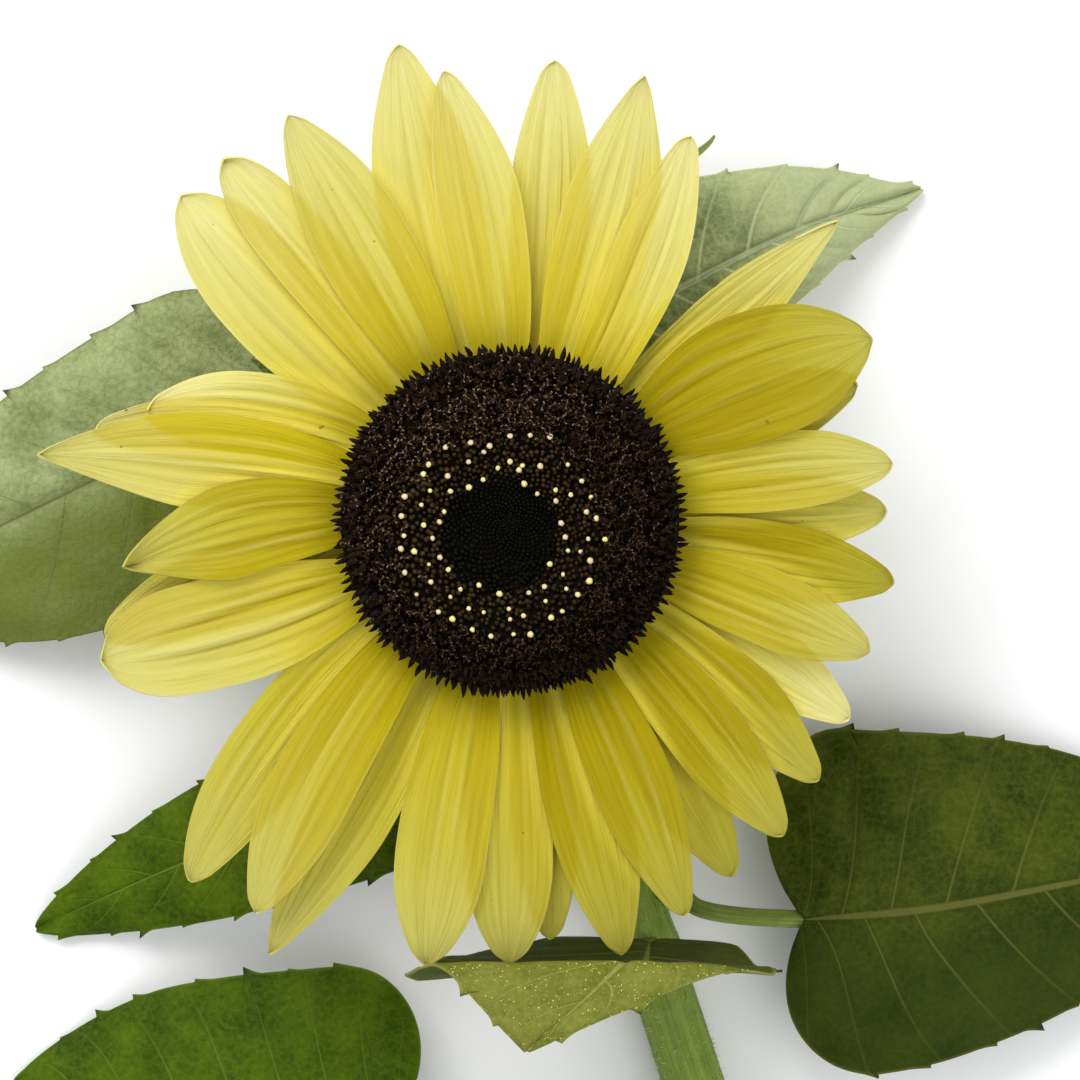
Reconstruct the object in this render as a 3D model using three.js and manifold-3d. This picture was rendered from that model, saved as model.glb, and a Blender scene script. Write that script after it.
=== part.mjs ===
// A pale lemon sunflower, cut with its stem and upper leaves and lying on its back.
// The bloom faces up (+Z), its stem bends over behind it and lies flat, and the leaves
// spread to both sides, so that their tips and the stem carry the plant.
// Millimetres and degrees. Angles count from +X towards +Y, seen from above.

import * as THREE from 'three';
import { mergeVertices } from 'three/addons/utils/BufferGeometryUtils.js';
import Module from 'manifold-3d';

const wasm = await Module();
wasm.setup();

// Clearance between two pieces that touch.
const TOUCH_GAP = 0.3;

// Stem and neck. The stem lies along STEM_HEADING, away from the point under the bloom.
const STEM_HEADING = -72;
const STEM_CUT_DISTANCE = 190;
const STEM_RADIUS_AT_NECK = 5.2;
const STEM_RADIUS_AT_CUT = 5.9;
const STEM_SIDES = 16;
const STEM_STEPS = 6;
const NECK_BEND_RADIUS = 26;
const NECK_RADIUS_AT_HEAD = 7.0;
const NECK_STEPS = 10;

// Receptacle: the green cushion behind the disc, which carries petals and bracts on its wall.
const RECEPTACLE_RADIUS = 26;
const RECEPTACLE_BASE_RADIUS = 7.4;
const RECEPTACLE_FLARE_HEIGHT = 8.2;
const RECEPTACLE_WALL_HEIGHT = 9.5;
// The flare as shares of its widening and of its height.
const RECEPTACLE_FLARE = [[0, 0], [0.2, 0.1], [0.55, 0.34], [0.85, 0.68], [1, 1]];
const HEAD_SIDES = 32;

// Disc of florets. The rim florets lean out over the petals, and the middle is sunken.
const DISC_RADIUS = 30.5;
const DISC_FOOT_RADIUS = 25.5;
const DISC_RIM_LIFT = 2.0;
const DISC_CROWN_HEIGHT = 7.8;
const DISC_CENTRE_HEIGHT = 4.0;
// The disc's edge as shares of its radius and of the crown's height, and its sunken middle as
// shares of its radius and of the way up from the centre to the crown.
const DISC_EDGE = [[1, 0.5], [0.93, 0.86], [0.8, 1], [0.62, 1]];
const DISC_HOLLOW = [[0.46, 0.6], [0.32, 0.2], [0.15, 0], [0, 0]];
const DISC_RIM_SHARE = 0.985;

// Ray petals and bracts are thin blades in layers. All of them follow one bowed, wavy surface,
// and each layer lies a pitch below the last, so that no two touch.
const PETAL_THICKNESS = 0.7;
const PETAL_ROOT_WIDTH = 4.6;
const PETAL_TIP_WIDTH = 0.9;
const PETAL_WIDEST_AT = 0.58;
const PETAL_STEPS = 8;
const PETAL_LEAN = 0.42;
const LAYER_PITCH = 1.25;
const LAYER_SPREAD = 0.016;
const FRONT_LAYER_DROP = 1.0;
const HEAD_SPAN = 60;
const HEAD_RISE = 14;
const HEAD_FALL = 12;
const HEAD_WAVES = [
  { lobes: 2, height: 2.0, phase: 0.37 },
  { lobes: 3, height: 2.4, phase: 0.6 },
];

const BRACT_THICKNESS = 0.9;
const BRACT_ROOT_WIDTH = 8.0;
const BRACT_TIP_WIDTH = 0.8;
const BRACT_WIDEST_AT = 0.22;
const BRACT_STEPS = 6;
const BRACT_TIP_POWER = 0.85;
const BRACT_DROOP = 0.12;

// Leaf blades, each on its own stalk.
const LEAF_THICKNESS = 0.9;
const LEAF_STEPS = 9;
const LEAF_COLUMNS = 4;
const LEAF_LOBE_SWEEP = 0.62;
const LEAF_TIP_WIDTH = 1.2;
const LEAF_ROOT_WIDTH = 3.0;
// How squarely a leaf's foot rounds out. Then, for most leaves, for the one that narrows sooner and
// for the standing one, where the blade is widest, how straight its sides run in and how full they are.
const LEAF_FOOT_POWER = 0.6;
const LEAF_OUTLINE = { widestAt: 0.27, power: 0.8, fullness: 0.6 };
const NARROWING_LEAF_OUTLINE = { widestAt: 0.3, power: 1, fullness: 0.4 };
const STANDING_LEAF_OUTLINE = { widestAt: 0.66, power: 1, fullness: 0 };
const STALK_SOCKET_RADIUS = 2.3;
const STALK_SOCKET_SHARE = 0.12;
const STALK_RADIUS = 1.7;
const MIDRIB_END_RADIUS = 0.7;
const MIDRIB_REACH = 0.3;
const MIDRIB_DEPTH = 0.7;
const STALK_SIDES = 8;
const STALK_STEPS = 9;

// Ray petals, rooted on the receptacle: root and tip are directions from the disc's axis, reach
// is the distance of the tip from it, width is the widest part, blunt rounds the tip (1.5
// pointed, 5 square), and layer 0 is the front one.
const PETALS = [
  { name: 'petal_top_a', root: 105, tip: 103.2, reach: 86.1, width: 18.5, blunt: 1.9, layer: 3 },
  { name: 'petal_top_b', root: 93, tip: 98.3, reach: 79.8, width: 15.0, blunt: 1.9, layer: 2 },
  { name: 'petal_top_c', root: 81, tip: 84.5, reach: 81.4, width: 14.2, blunt: 2.2, layer: 4 },
  { name: 'petal_top_d', root: 71, tip: 73.2, reach: 81.6, width: 17.0, blunt: 1.7, layer: 2 },
  { name: 'petal_top_e', root: 60, tip: 64.9, reach: 74.2, width: 13.0, blunt: 1.9, layer: 1 },
  { name: 'petal_right_a', root: 47, tip: 42.5, reach: 77.9, width: 15.5, blunt: 1.5, layer: 3 },
  { name: 'petal_right_b', root: 33.5, tip: 26.7, reach: 70.5, width: 23.0, blunt: 2.6, layer: 0 },
  { name: 'petal_right_c', root: 24, tip: 21.5, reach: 65.3, width: 13.5, blunt: 2.2, layer: 3 },
  { name: 'petal_right_d', root: 12, tip: 8.5, reach: 67.5, width: 13.6, blunt: 2.6, layer: 1 },
  { name: 'petal_right_e', root: 2, tip: 1.5, reach: 66.0, width: 13.4, blunt: 2.2, layer: 3 },
  { name: 'petal_right_f', root: 352, tip: 350.8, reach: 68.0, width: 13.8, blunt: 2.0, layer: 2 },
  { name: 'petal_right_g', root: 342.5, tip: 340, reach: 66.9, width: 13.6, blunt: 2.2, layer: 1 },
  { name: 'petal_right_h', root: 333, tip: 329.7, reach: 69.0, width: 13.6, blunt: 2.0, layer: 3 },
  { name: 'petal_low_a', root: 323.5, tip: 320, reach: 70.7, width: 13.8, blunt: 2.0, layer: 2 },
  { name: 'petal_low_b', root: 314, tip: 311, reach: 73.0, width: 13.8, blunt: 2.1, layer: 1 },
  { name: 'petal_low_c', root: 304.5, tip: 302, reach: 73.7, width: 13.8, blunt: 2.0, layer: 3 },
  { name: 'petal_low_d', root: 296, tip: 293.9, reach: 75.4, width: 14.2, blunt: 1.8, layer: 0 },
  { name: 'petal_low_e', root: 285.5, tip: 284.6, reach: 78.4, width: 14.6, blunt: 2.2, layer: 1 },
  { name: 'petal_low_f', root: 277.5, tip: 275.6, reach: 73.7, width: 11.5, blunt: 2.4, layer: 3 },
  { name: 'petal_low_g', root: 269.5, tip: 270, reach: 77.6, width: 15.2, blunt: 3.6, layer: 2 },
  { name: 'petal_low_h', root: 257, tip: 259.4, reach: 79.0, width: 16.0, blunt: 3.2, layer: 1 },
  { name: 'petal_left_a', root: 242, tip: 240.9, reach: 87.0, width: 14.6, blunt: 1.8, layer: 3 },
  { name: 'petal_left_b', root: 229.5, tip: 237.0, reach: 81.6, width: 15.0, blunt: 2.4, layer: 1 },
  { name: 'petal_left_c', root: 219, tip: 228.4, reach: 84.4, width: 14.6, blunt: 2.6, layer: 2 },
  { name: 'petal_left_d', root: 203, tip: 198.8, reach: 75.6, width: 19.5, blunt: 4.2, layer: 1 },
  { name: 'petal_left_e', root: 190, tip: 195.7, reach: 73.7, width: 14.0, blunt: 2.6, layer: 3 },
  { name: 'petal_left_f', root: 178, tip: 186.8, reach: 67.9, width: 16.6, blunt: 1.7, layer: 0 },
  { name: 'petal_left_g', root: 166, tip: 172, reach: 83.5, width: 17.0, blunt: 1.5, layer: 1 },
  { name: 'petal_left_h', root: 157.5, tip: 167.6, reach: 74.4, width: 12.0, blunt: 2.4, layer: 4 },
  { name: 'petal_left_i', root: 152, tip: 163, reach: 66.3, width: 14.5, blunt: 2.8, layer: 2 },
  { name: 'petal_left_j', root: 139, tip: 135.3, reach: 81.2, width: 18.0, blunt: 3.4, layer: 3 },
  { name: 'petal_left_k', root: 126.5, tip: 128.4, reach: 80.9, width: 12.6, blunt: 4.2, layer: 2 },
  { name: 'petal_left_l', root: 117, tip: 118.7, reach: 80.9, width: 17.0, blunt: 2.1, layer: 1 },
];

// Two whorls of bracts behind the petals. Their tips show in the gaps between petals.
const INNER_BRACT_LAYER = 5.2;
const OUTER_BRACT_LAYER = 6.4;
const INNER_BRACTS = [
  { root: 20, reach: 60, width: 13 },
  { root: 62.7, reach: 74, width: 12 },
  { root: 91, reach: 64, width: 12 },
  { root: 126.3, reach: 62, width: 13 },
  { root: 166, reach: 58, width: 14 },
  { root: 208, reach: 60, width: 13 },
  { root: 249, reach: 57, width: 14 },
  { root: 290, reach: 61, width: 13 },
  { root: 334, reach: 58, width: 14 },
];
const OUTER_BRACTS = [
  { root: 42, reach: 55, width: 12 },
  { root: 108, reach: 52, width: 13 },
  { root: 147, reach: 54, width: 12 },
  { root: 188, reach: 50, width: 13 },
  { root: 229, reach: 53, width: 13 },
  { root: 271, reach: 50, width: 12 },
  { root: 313, reach: 54, width: 13 },
];

// Distance and height of the standing leaf's blade, from its lowest lobes up to its tip.
const STANDING_LEAF_PROFILE = [
  [-74, 12], [-75.5, 20], [-77.5, 30], [-79.2, 39], [-79.5, 47], [-78.6, 52], [-77, 55.4],
  [-79.6, 58], [-86, 59.2], [-92.3, 59.5],
];

// Leaves. socket: distance along the stem from the bloom's axis, and the angle around the stem
// (0 to the left of its heading, 90 on top, 180 to the right). stalk and spine are points on the
// stalk and on the blade's midrib; left and right are the widest half widths; fold lifts both
// halves near the foot, arch bends the margins down. The one leaf that stands up is drawn flat,
// with its spine counted leftwards and upwards from a point on the stem, and draped over a
// profile that climbs behind the petal tips and bends out over them.
const LEAVES = [
  {
    name: 'leaf_left',
    socket: { along: 40, around: 28 },
    stalk: [[-2, -34, 14], [-24, -2, 16]],
    spine: [[-41, 25, 17], [-64, 13, 19.5], [-95, -2, 13], [-121, -15, 0.6]],
    left: 25.4, right: 24.4, fold: 0.1, arch: 0.16,
  },
  {
    name: 'leaf_left_lower',
    socket: { along: 58, around: 22 },
    stalk: [[6, -54, 13]],
    spine: [[-12, -43, 14], [-35, -52, 16], [-62, -63, 10], [-87, -74.5, 0.6]],
    left: 15.5, right: 14.5, fold: 0.12, arch: 0.14,
  },
  {
    name: 'leaf_lower_left',
    socket: { along: 116, around: 20 },
    stalk: [[16, -114, 11], [-4, -112, 12]],
    spine: [[-21, -109, 12], [-42, -108, 14], [-67, -105, 9], [-91, -103, 0.6]],
    left: 28, right: 28, fold: 0.08, arch: 0.2,
  },
  {
    name: 'leaf_lower_centre',
    socket: { along: 82, around: 88 },
    stalk: [[25.3, -77.6, 13.6]],
    spine: [[0, 9, 0], [1, 24, 0], [3.5, 42, 0], [22, 60.8, 0]],
    left: 24, right: 40, fold: 0, arch: 0, outline: STANDING_LEAF_OUTLINE,
    drape: { x: 25, profile: STANDING_LEAF_PROFILE },
  },
  {
    name: 'leaf_right_lower',
    socket: { along: 72, around: 158 },
    stalk: [[34, -70, 13]],
    spine: [[53, -72, 15], [75, -70, 17], [105, -65, 10], [132, -60, 0.6]],
    left: 34, right: 29, fold: 0.1, arch: 0.18,
  },
  {
    name: 'leaf_upper_right',
    socket: { along: 42, around: 152 },
    stalk: [[24, -26, 13], [18, 2, 14]],
    spine: [[10, 28, 15], [31, 39.5, 17.5], [53, 50.5, 12], [75, 59.5, 0.6]],
    left: 18, right: 17, fold: 0.1, arch: 0.14, outline: NARROWING_LEAF_OUTLINE,
  },
];

const FINISHES = {
  petal: { color: 0xdccf5a, roughness: 0.6, metalness: 0 },
  bract: { color: 0x7d9440, roughness: 0.75, metalness: 0 },
  leaf: { color: 0x7f9058, roughness: 0.8, metalness: 0 },
  stem: { color: 0x6f8a2e, roughness: 0.7, metalness: 0 },
  receptacle: { color: 0x86a04a, roughness: 0.75, metalness: 0 },
  disc: { color: 0x241a12, roughness: 0.85, metalness: 0 },
};

const { degToRad, lerp } = THREE.MathUtils;

const NECK_TOP_Z = STEM_RADIUS_AT_NECK + NECK_BEND_RADIUS;
const RECEPTACLE_FOOT_Z = NECK_TOP_Z + TOUCH_GAP;
const RECEPTACLE_WALL_Z = RECEPTACLE_FOOT_Z + RECEPTACLE_FLARE_HEIGHT;
const RECEPTACLE_TOP_Z = RECEPTACLE_WALL_Z + RECEPTACLE_WALL_HEIGHT;
const FRONT_LAYER_Z = RECEPTACLE_TOP_Z - FRONT_LAYER_DROP;
const DISC_FOOT_Z = RECEPTACLE_TOP_Z + TOUCH_GAP;
const ROOT_RADIUS = RECEPTACLE_RADIUS + TOUCH_GAP;
const UP = new THREE.Vector3(0, 0, 1);

function mesh(name, geometry, finish) {
  geometry.computeVertexNormals();
  const piece = new THREE.Mesh(geometry, new THREE.MeshStandardMaterial(FINISHES[finish]));
  piece.name = name;
  return piece;
}

function bareGeometry(geometry) {
  geometry.deleteAttribute('normal');
  geometry.deleteAttribute('uv');
  return mergeVertices(geometry);
}

function direction(degrees) {
  const angle = degToRad(degrees);
  return new THREE.Vector3(Math.cos(angle), Math.sin(angle), 0);
}

const HEADING = direction(STEM_HEADING);
const LEFT_OF_STEM = direction(STEM_HEADING - 90);

// A closed tapering tube: a cylinder bent along a curve. radiusAt takes 0 at the start, 1 at the end.
function taperedTube(curve, radiusAt, sides, steps) {
  const geometry = bareGeometry(new THREE.CylinderGeometry(1, 1, 1, sides, steps));
  const frames = curve.computeFrenetFrames(steps);
  const position = geometry.attributes.position;
  for (let i = 0; i < position.count; i += 1) {
    const along = 0.5 - position.getY(i);
    const station = Math.round(along * steps);
    const radius = radiusAt(along);
    const point = curve.getPointAt(station / steps)
      .addScaledVector(frames.normals[station], position.getX(i) * radius)
      .addScaledVector(frames.binormals[station], position.getZ(i) * radius);
    position.setXYZ(i, point.x, point.y, point.z);
  }
  return geometry;
}

// A closed thin blade. place takes the fraction along it, the side (-1 to 1) and the face
// (-1 under, 1 over), and gives the point.
function thinBlade(columns, steps, place) {
  const geometry = bareGeometry(new THREE.BoxGeometry(1, 1, 1, columns, steps, 1));
  const position = geometry.attributes.position;
  for (let i = 0; i < position.count; i += 1) {
    const point = place(position.getY(i) + 0.5, 2 * position.getX(i), 2 * position.getZ(i));
    position.setXYZ(i, point.x, point.y, point.z);
  }
  return geometry;
}

// The surface that the petals and bracts follow, from the receptacle's wall outwards.
function headSurface(x, y, layer, droop) {
  const radius = Math.hypot(x, y);
  const angle = Math.atan2(y, x);
  const beyondWall = radius - RECEPTACLE_RADIUS;
  const out = beyondWall / HEAD_SPAN;
  const waves = HEAD_WAVES.reduce(
    (sum, wave) => sum + wave.height * Math.sin(wave.lobes * angle + wave.phase), 0);
  const bow = HEAD_RISE * out - HEAD_FALL * out * out + waves * out * out;
  const pitch = LAYER_PITCH + LAYER_SPREAD * beyondWall;
  return FRONT_LAYER_Z + bow - layer * pitch - droop * beyondWall;
}

// Half the width of a blade that widens from its root to its widest part and narrows to its tip.
function halfWidth(along, { root, widest, tip, widestAt, power }) {
  if (along < widestAt) {
    return lerp(root, widest, Math.sin((Math.PI / 2) * (along / widestAt))) / 2;
  }
  const beyond = (along - widestAt) / (1 - widestAt);
  return lerp(tip, widest, 1 - beyond ** power) / 2;
}

// A petal or bract: rooted square on the receptacle's wall, then leaning to its tip.
function rayBlade({ root, tip, reach, layer, droop, thickness, steps, outline }) {
  const start = direction(root).multiplyScalar(ROOT_RADIUS);
  const end = direction(tip).multiplyScalar(reach);
  const lean = direction(root).multiplyScalar(start.distanceTo(end) * PETAL_LEAN).add(start);
  const spine = new THREE.QuadraticBezierCurve3(start, lean, end);
  return thinBlade(2, steps, (fraction, side, face) => {
    const along = Math.sin((Math.PI / 2) * fraction);
    const across = spine.getTangent(along).cross(UP);
    const point = spine.getPoint(along)
      .addScaledVector(across, side * halfWidth(along, outline));
    point.z = headSurface(point.x, point.y, layer, droop) + (face * thickness) / 2;
    return point;
  });
}

function petal({ name, root, tip, reach, width, blunt, layer }) {
  const outline = {
    root: PETAL_ROOT_WIDTH, widest: width, tip: PETAL_TIP_WIDTH,
    widestAt: PETAL_WIDEST_AT, power: blunt,
  };
  const shape = {
    root, tip, reach, layer, droop: 0, thickness: PETAL_THICKNESS, steps: PETAL_STEPS, outline,
  };
  return mesh(name, rayBlade(shape), 'petal');
}

function bract(name, { root, reach, width }, layer) {
  const outline = {
    root: BRACT_ROOT_WIDTH, widest: width, tip: BRACT_TIP_WIDTH,
    widestAt: BRACT_WIDEST_AT, power: BRACT_TIP_POWER,
  };
  const shape = {
    root, tip: root, reach, layer, droop: BRACT_DROOP, thickness: BRACT_THICKNESS,
    steps: BRACT_STEPS, outline,
  };
  return mesh(name, rayBlade(shape), 'bract');
}

function lathe(name, profile, finish) {
  const points = profile.map(([radius, height]) => new THREE.Vector2(radius, height));
  const geometry = bareGeometry(new THREE.LatheGeometry(points, HEAD_SIDES));
  geometry.rotateX(Math.PI / 2);
  return mesh(name, geometry, finish);
}

function receptacle() {
  const flare = RECEPTACLE_FLARE.map(([widening, lift]) => [
    lerp(RECEPTACLE_BASE_RADIUS, RECEPTACLE_RADIUS, widening),
    lerp(RECEPTACLE_FOOT_Z, RECEPTACLE_WALL_Z, lift),
  ]);
  return lathe('receptacle', [
    [0, RECEPTACLE_FOOT_Z],
    ...flare,
    [RECEPTACLE_RADIUS, RECEPTACLE_TOP_Z],
    [0, RECEPTACLE_TOP_Z],
  ], 'receptacle');
}

function disc() {
  const crown = DISC_FOOT_Z + DISC_CROWN_HEIGHT;
  const sunken = DISC_FOOT_Z + DISC_CENTRE_HEIGHT;
  return lathe('disc', [
    [0, DISC_FOOT_Z],
    [DISC_FOOT_RADIUS, DISC_FOOT_Z],
    [DISC_RADIUS * DISC_RIM_SHARE, DISC_FOOT_Z + DISC_RIM_LIFT],
    ...DISC_EDGE.map(([share, lift]) => [DISC_RADIUS * share, lerp(DISC_FOOT_Z, crown, lift)]),
    ...DISC_HOLLOW.map(([share, lift]) => [DISC_RADIUS * share, lerp(sunken, crown, lift)]),
  ], 'disc');
}

// The stem's axis: its underside lies on the ground all along, so the axis rises with the radius.
function stemRadius(distance) {
  const share = (distance - NECK_BEND_RADIUS) / (STEM_CUT_DISTANCE - NECK_BEND_RADIUS);
  return lerp(STEM_RADIUS_AT_NECK, STEM_RADIUS_AT_CUT, share);
}

function stemAxis(distance) {
  return HEADING.clone().multiplyScalar(distance).setZ(stemRadius(distance));
}

function stem() {
  const length = STEM_CUT_DISTANCE - NECK_BEND_RADIUS - TOUCH_GAP;
  const geometry = bareGeometry(new THREE.CylinderGeometry(1, 1, 1, STEM_SIDES, STEM_STEPS));
  const position = geometry.attributes.position;
  for (let i = 0; i < position.count; i += 1) {
    const distance = STEM_CUT_DISTANCE - (0.5 - position.getY(i)) * length;
    const radius = stemRadius(distance);
    const point = stemAxis(distance)
      .addScaledVector(LEFT_OF_STEM, position.getX(i) * radius)
      .addScaledVector(UP, position.getZ(i) * radius);
    position.setXYZ(i, point.x, point.y, point.z);
  }
  return mesh('stem', geometry, 'stem');
}

// A quarter turn from the lying stem up to the receptacle, thicker towards the head.
class NeckBend extends THREE.Curve {
  getPoint(fraction) {
    const turn = (Math.PI / 2) * fraction;
    const distance = NECK_BEND_RADIUS * (1 - Math.sin(turn));
    return HEADING.clone().multiplyScalar(distance)
      .setZ(STEM_RADIUS_AT_NECK + NECK_BEND_RADIUS * (1 - Math.cos(turn)));
  }
}

function neck() {
  const radiusAt = (along) => lerp(STEM_RADIUS_AT_NECK, NECK_RADIUS_AT_HEAD, along * along);
  return mesh('neck', taperedTube(new NeckBend(), radiusAt, STEM_SIDES, NECK_STEPS), 'stem');
}

function leafHalfWidth(along, widest, { widestAt, power, fullness }) {
  if (along < widestAt) {
    const rise = Math.sin((Math.PI / 2) * (along / widestAt)) ** LEAF_FOOT_POWER;
    return lerp(LEAF_ROOT_WIDTH / 2, widest, rise);
  }
  const beyond = (along - widestAt) / (1 - widestAt);
  const share = (1 - beyond) ** power * (1 + fullness * beyond);
  return lerp(LEAF_TIP_WIDTH / 2, widest, share);
}

// The blade's frame at a place on its midrib: across to the right, and out of the upper side.
// A standing leaf is drawn straight across, whichever way its midrib leans.
function leafFrame(spine, along, drape) {
  const tangent = drape ? new THREE.Vector3(0, 1, 0) : spine.getTangent(along);
  const across = tangent.clone().cross(UP).normalize();
  const outward = across.clone().cross(tangent);
  return { tangent, across, outward };
}

// A flat leaf keeps its points; a standing one has them laid along its profile.
function draped(flat, drape) {
  if (!drape) {
    return flat;
  }
  const profile = new THREE.CatmullRomCurve3(
    drape.profile.map(([distance, height]) => new THREE.Vector3(0, distance, height)));
  const along = THREE.MathUtils.clamp(flat.y / profile.getLength(), 0, 1);
  const tangent = profile.getTangentAt(along);
  return profile.getPointAt(along)
    .addScaledVector(new THREE.Vector3(0, tangent.z, -tangent.y), flat.z)
    .setX(drape.x - flat.x);
}

function leafBlade(spine, { left, right, fold, arch, drape, outline = LEAF_OUTLINE }) {
  return thinBlade(LEAF_COLUMNS, LEAF_STEPS, (along, side, face) => {
    const { tangent, across, outward } = leafFrame(spine, along, drape);
    const half = leafHalfWidth(along, side < 0 ? left : right, outline);
    const sweep = LEAF_LOBE_SWEEP * half * side * side * (1 - along) ** 3;
    const lift = half * (fold * Math.abs(side) * (1 - along) ** 2 - arch * side * side);
    const flat = spine.getPoint(along)
      .addScaledVector(across, side * half)
      .addScaledVector(tangent, -sweep)
      .addScaledVector(outward, lift + (face * LEAF_THICKNESS) / 2);
    return draped(flat, drape);
  });
}

// Where a leaf stalk meets the stem: a touch gap off its skin, leaving square to it.
function leafSocket({ along, around }) {
  const angle = degToRad(around);
  const outward = LEFT_OF_STEM.clone().multiplyScalar(Math.cos(angle))
    .addScaledVector(UP, Math.sin(angle));
  const skin = stemAxis(along).addScaledVector(outward, stemRadius(along) + TOUCH_GAP);
  return [skin, skin.clone().addScaledVector(outward, STALK_SOCKET_RADIUS)];
}

// The stalk runs on under the blade as its midrib.
function leafStalk(spine, { socket, stalk, drape }) {
  const under = (along) => {
    const flat = spine.getPoint(along)
      .addScaledVector(leafFrame(spine, along, drape).outward, -MIDRIB_DEPTH);
    return draped(flat, drape);
  };
  const points = [
    ...leafSocket(socket),
    ...stalk.map((place) => new THREE.Vector3(...place)),
    under(0), under(MIDRIB_REACH / 2), under(MIDRIB_REACH),
  ];
  const curve = new THREE.CatmullRomCurve3(points, false, 'centripetal');
  const radiusAt = (along) => {
    const flare = Math.max(0, 1 - along / STALK_SOCKET_SHARE);
    const taper = lerp(STALK_RADIUS, MIDRIB_END_RADIUS, along ** 3);
    return taper + (STALK_SOCKET_RADIUS - STALK_RADIUS) * flare;
  };
  return taperedTube(curve, radiusAt, STALK_SIDES, STALK_STEPS);
}

function solid(geometry) {
  return new wasm.Manifold(new wasm.Mesh({
    numProp: 3,
    vertProperties: new Float32Array(geometry.attributes.position.array),
    triVerts: new Uint32Array(geometry.index.array),
  }));
}

function joined(first, second) {
  const result = solid(first).add(solid(second)).getMesh();
  const geometry = new THREE.BufferGeometry();
  geometry.setAttribute('position', new THREE.BufferAttribute(result.vertProperties, 3));
  geometry.setIndex(new THREE.BufferAttribute(result.triVerts, 1));
  return geometry;
}

function leaf(shape) {
  const places = shape.spine.map((place) => new THREE.Vector3(...place));
  const spine = new THREE.CatmullRomCurve3(places, false, 'centripetal');
  return mesh(shape.name, joined(leafBlade(spine, shape), leafStalk(spine, shape)), 'leaf');
}

const head = new THREE.Group();
head.add(disc(), receptacle());
PETALS.forEach((shape) => head.add(petal(shape)));
INNER_BRACTS.forEach((shape, i) => head.add(bract(`bract_inner_${i + 1}`, shape, INNER_BRACT_LAYER)));
OUTER_BRACTS.forEach((shape, i) => head.add(bract(`bract_outer_${i + 1}`, shape, OUTER_BRACT_LAYER)));

const stalks = new THREE.Group();
stalks.add(neck(), stem());
LEAVES.forEach((shape) => stalks.add(leaf(shape)));

// The origin is the middle of the footprint, on the ground.
const sunflower = new THREE.Group();
sunflower.add(head, stalks);
const box = new THREE.Box3().setFromObject(sunflower);
const middle = box.getCenter(new THREE.Vector3());
sunflower.position.set(-middle.x, -middle.y, -box.min.z);

export default sunflower;
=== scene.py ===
"""Looks of a cut pale lemon sunflower that lies on its back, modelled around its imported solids.

Lengths inside the classes are millimetres in the bloom's own frame: the disc's axis is at
x = y = 0 and heights count from the ground. RowFrame turns them into the row's metres.
"""

import logging
import math
from collections.abc import Callable, Sequence
from dataclasses import dataclass
from enum import Enum

import bmesh
import bpy
import numpy as np
from mathutils import Matrix, Vector


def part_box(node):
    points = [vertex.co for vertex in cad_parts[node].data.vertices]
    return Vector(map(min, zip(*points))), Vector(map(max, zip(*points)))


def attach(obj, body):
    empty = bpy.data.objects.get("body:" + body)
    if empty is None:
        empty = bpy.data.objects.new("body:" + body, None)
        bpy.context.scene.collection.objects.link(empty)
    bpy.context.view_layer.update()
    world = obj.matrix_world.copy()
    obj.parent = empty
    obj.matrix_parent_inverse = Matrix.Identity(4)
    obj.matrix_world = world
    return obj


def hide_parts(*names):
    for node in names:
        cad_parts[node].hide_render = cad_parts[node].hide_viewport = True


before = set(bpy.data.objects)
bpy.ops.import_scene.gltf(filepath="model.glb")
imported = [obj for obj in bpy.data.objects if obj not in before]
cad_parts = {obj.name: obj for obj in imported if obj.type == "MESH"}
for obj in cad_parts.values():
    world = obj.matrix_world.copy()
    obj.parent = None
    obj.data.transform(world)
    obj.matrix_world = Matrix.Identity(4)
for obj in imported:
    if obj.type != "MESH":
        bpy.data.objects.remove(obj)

LOG = logging.getLogger("sunflower")
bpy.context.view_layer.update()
MM = 0.001
FULL_TURN = 2 * math.pi
GOLDEN_TURN = math.pi * (3 - math.sqrt(5))
UP = np.array([0.0, 0.0, 1.0])
FIRST_SIDE = np.array([0.31, 0.2, 0.93])
SEED_STEP = 91.0
VEIN_SLANT = 0.24
VEIN_EASE = 0.35
VEIN_BOW = 1.15
# What corners carry for the materials: the place on a blade or round a tube, the piece's own seed and painted
# light (how lit or shaded its colour is painted), how much lies behind it and in front, and how deep it is
# folded.
MARKS = ("along", "across", "seed", "tone", "overlap", "fold", "under")

Array = np.ndarray
Chance = np.random.Generator
Edge = bmesh.types.BMEdge
Material = bpy.types.Material
Mesh = bpy.types.Mesh
Node = bpy.types.Node
Socket = bpy.types.NodeSocket
Marks = dict[str, Array]
Place = Callable[[Array, Array], tuple[Array, Marks]]
Colour = tuple[float, float, float, float]
Stops = tuple[tuple[float, Colour], ...]
Numbers = tuple[float, ...]
Pairs = tuple[tuple[float, float], ...]
Triples = tuple[tuple[float, float, float], ...]


class Slot(Enum):
    """Material slots."""

    PETAL = "petal"
    BRACT = "bract"
    LEAF = "leaf"
    STEM = "stem"
    RECEPTACLE = "receptacle"
    DISC = "disc"


def colour(red: int, green: int, blue: int) -> Colour:
    """Turns a display colour into the linear one that shaders take.

    Args:
        red: Red, 0 to 255.
        green: Green, 0 to 255.
        blue: Blue, 0 to 255.

    Returns:
        Linear red, green and blue, and an alpha of 1.
    """
    shares = [level / 255 for level in (red, green, blue)]
    linear = [share / 12.92 if share < 0.04 else ((share + 0.055) / 1.055) ** 2.4 for share in shares]
    return (linear[0], linear[1], linear[2], 1.0)


def smooth(low: float, high: float, value: Array) -> Array:
    """Rises smoothly from 0 at low to 1 at high."""
    share = np.clip((value - low) / (high - low), 0, 1)
    return share * share * (3 - 2 * share)


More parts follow.
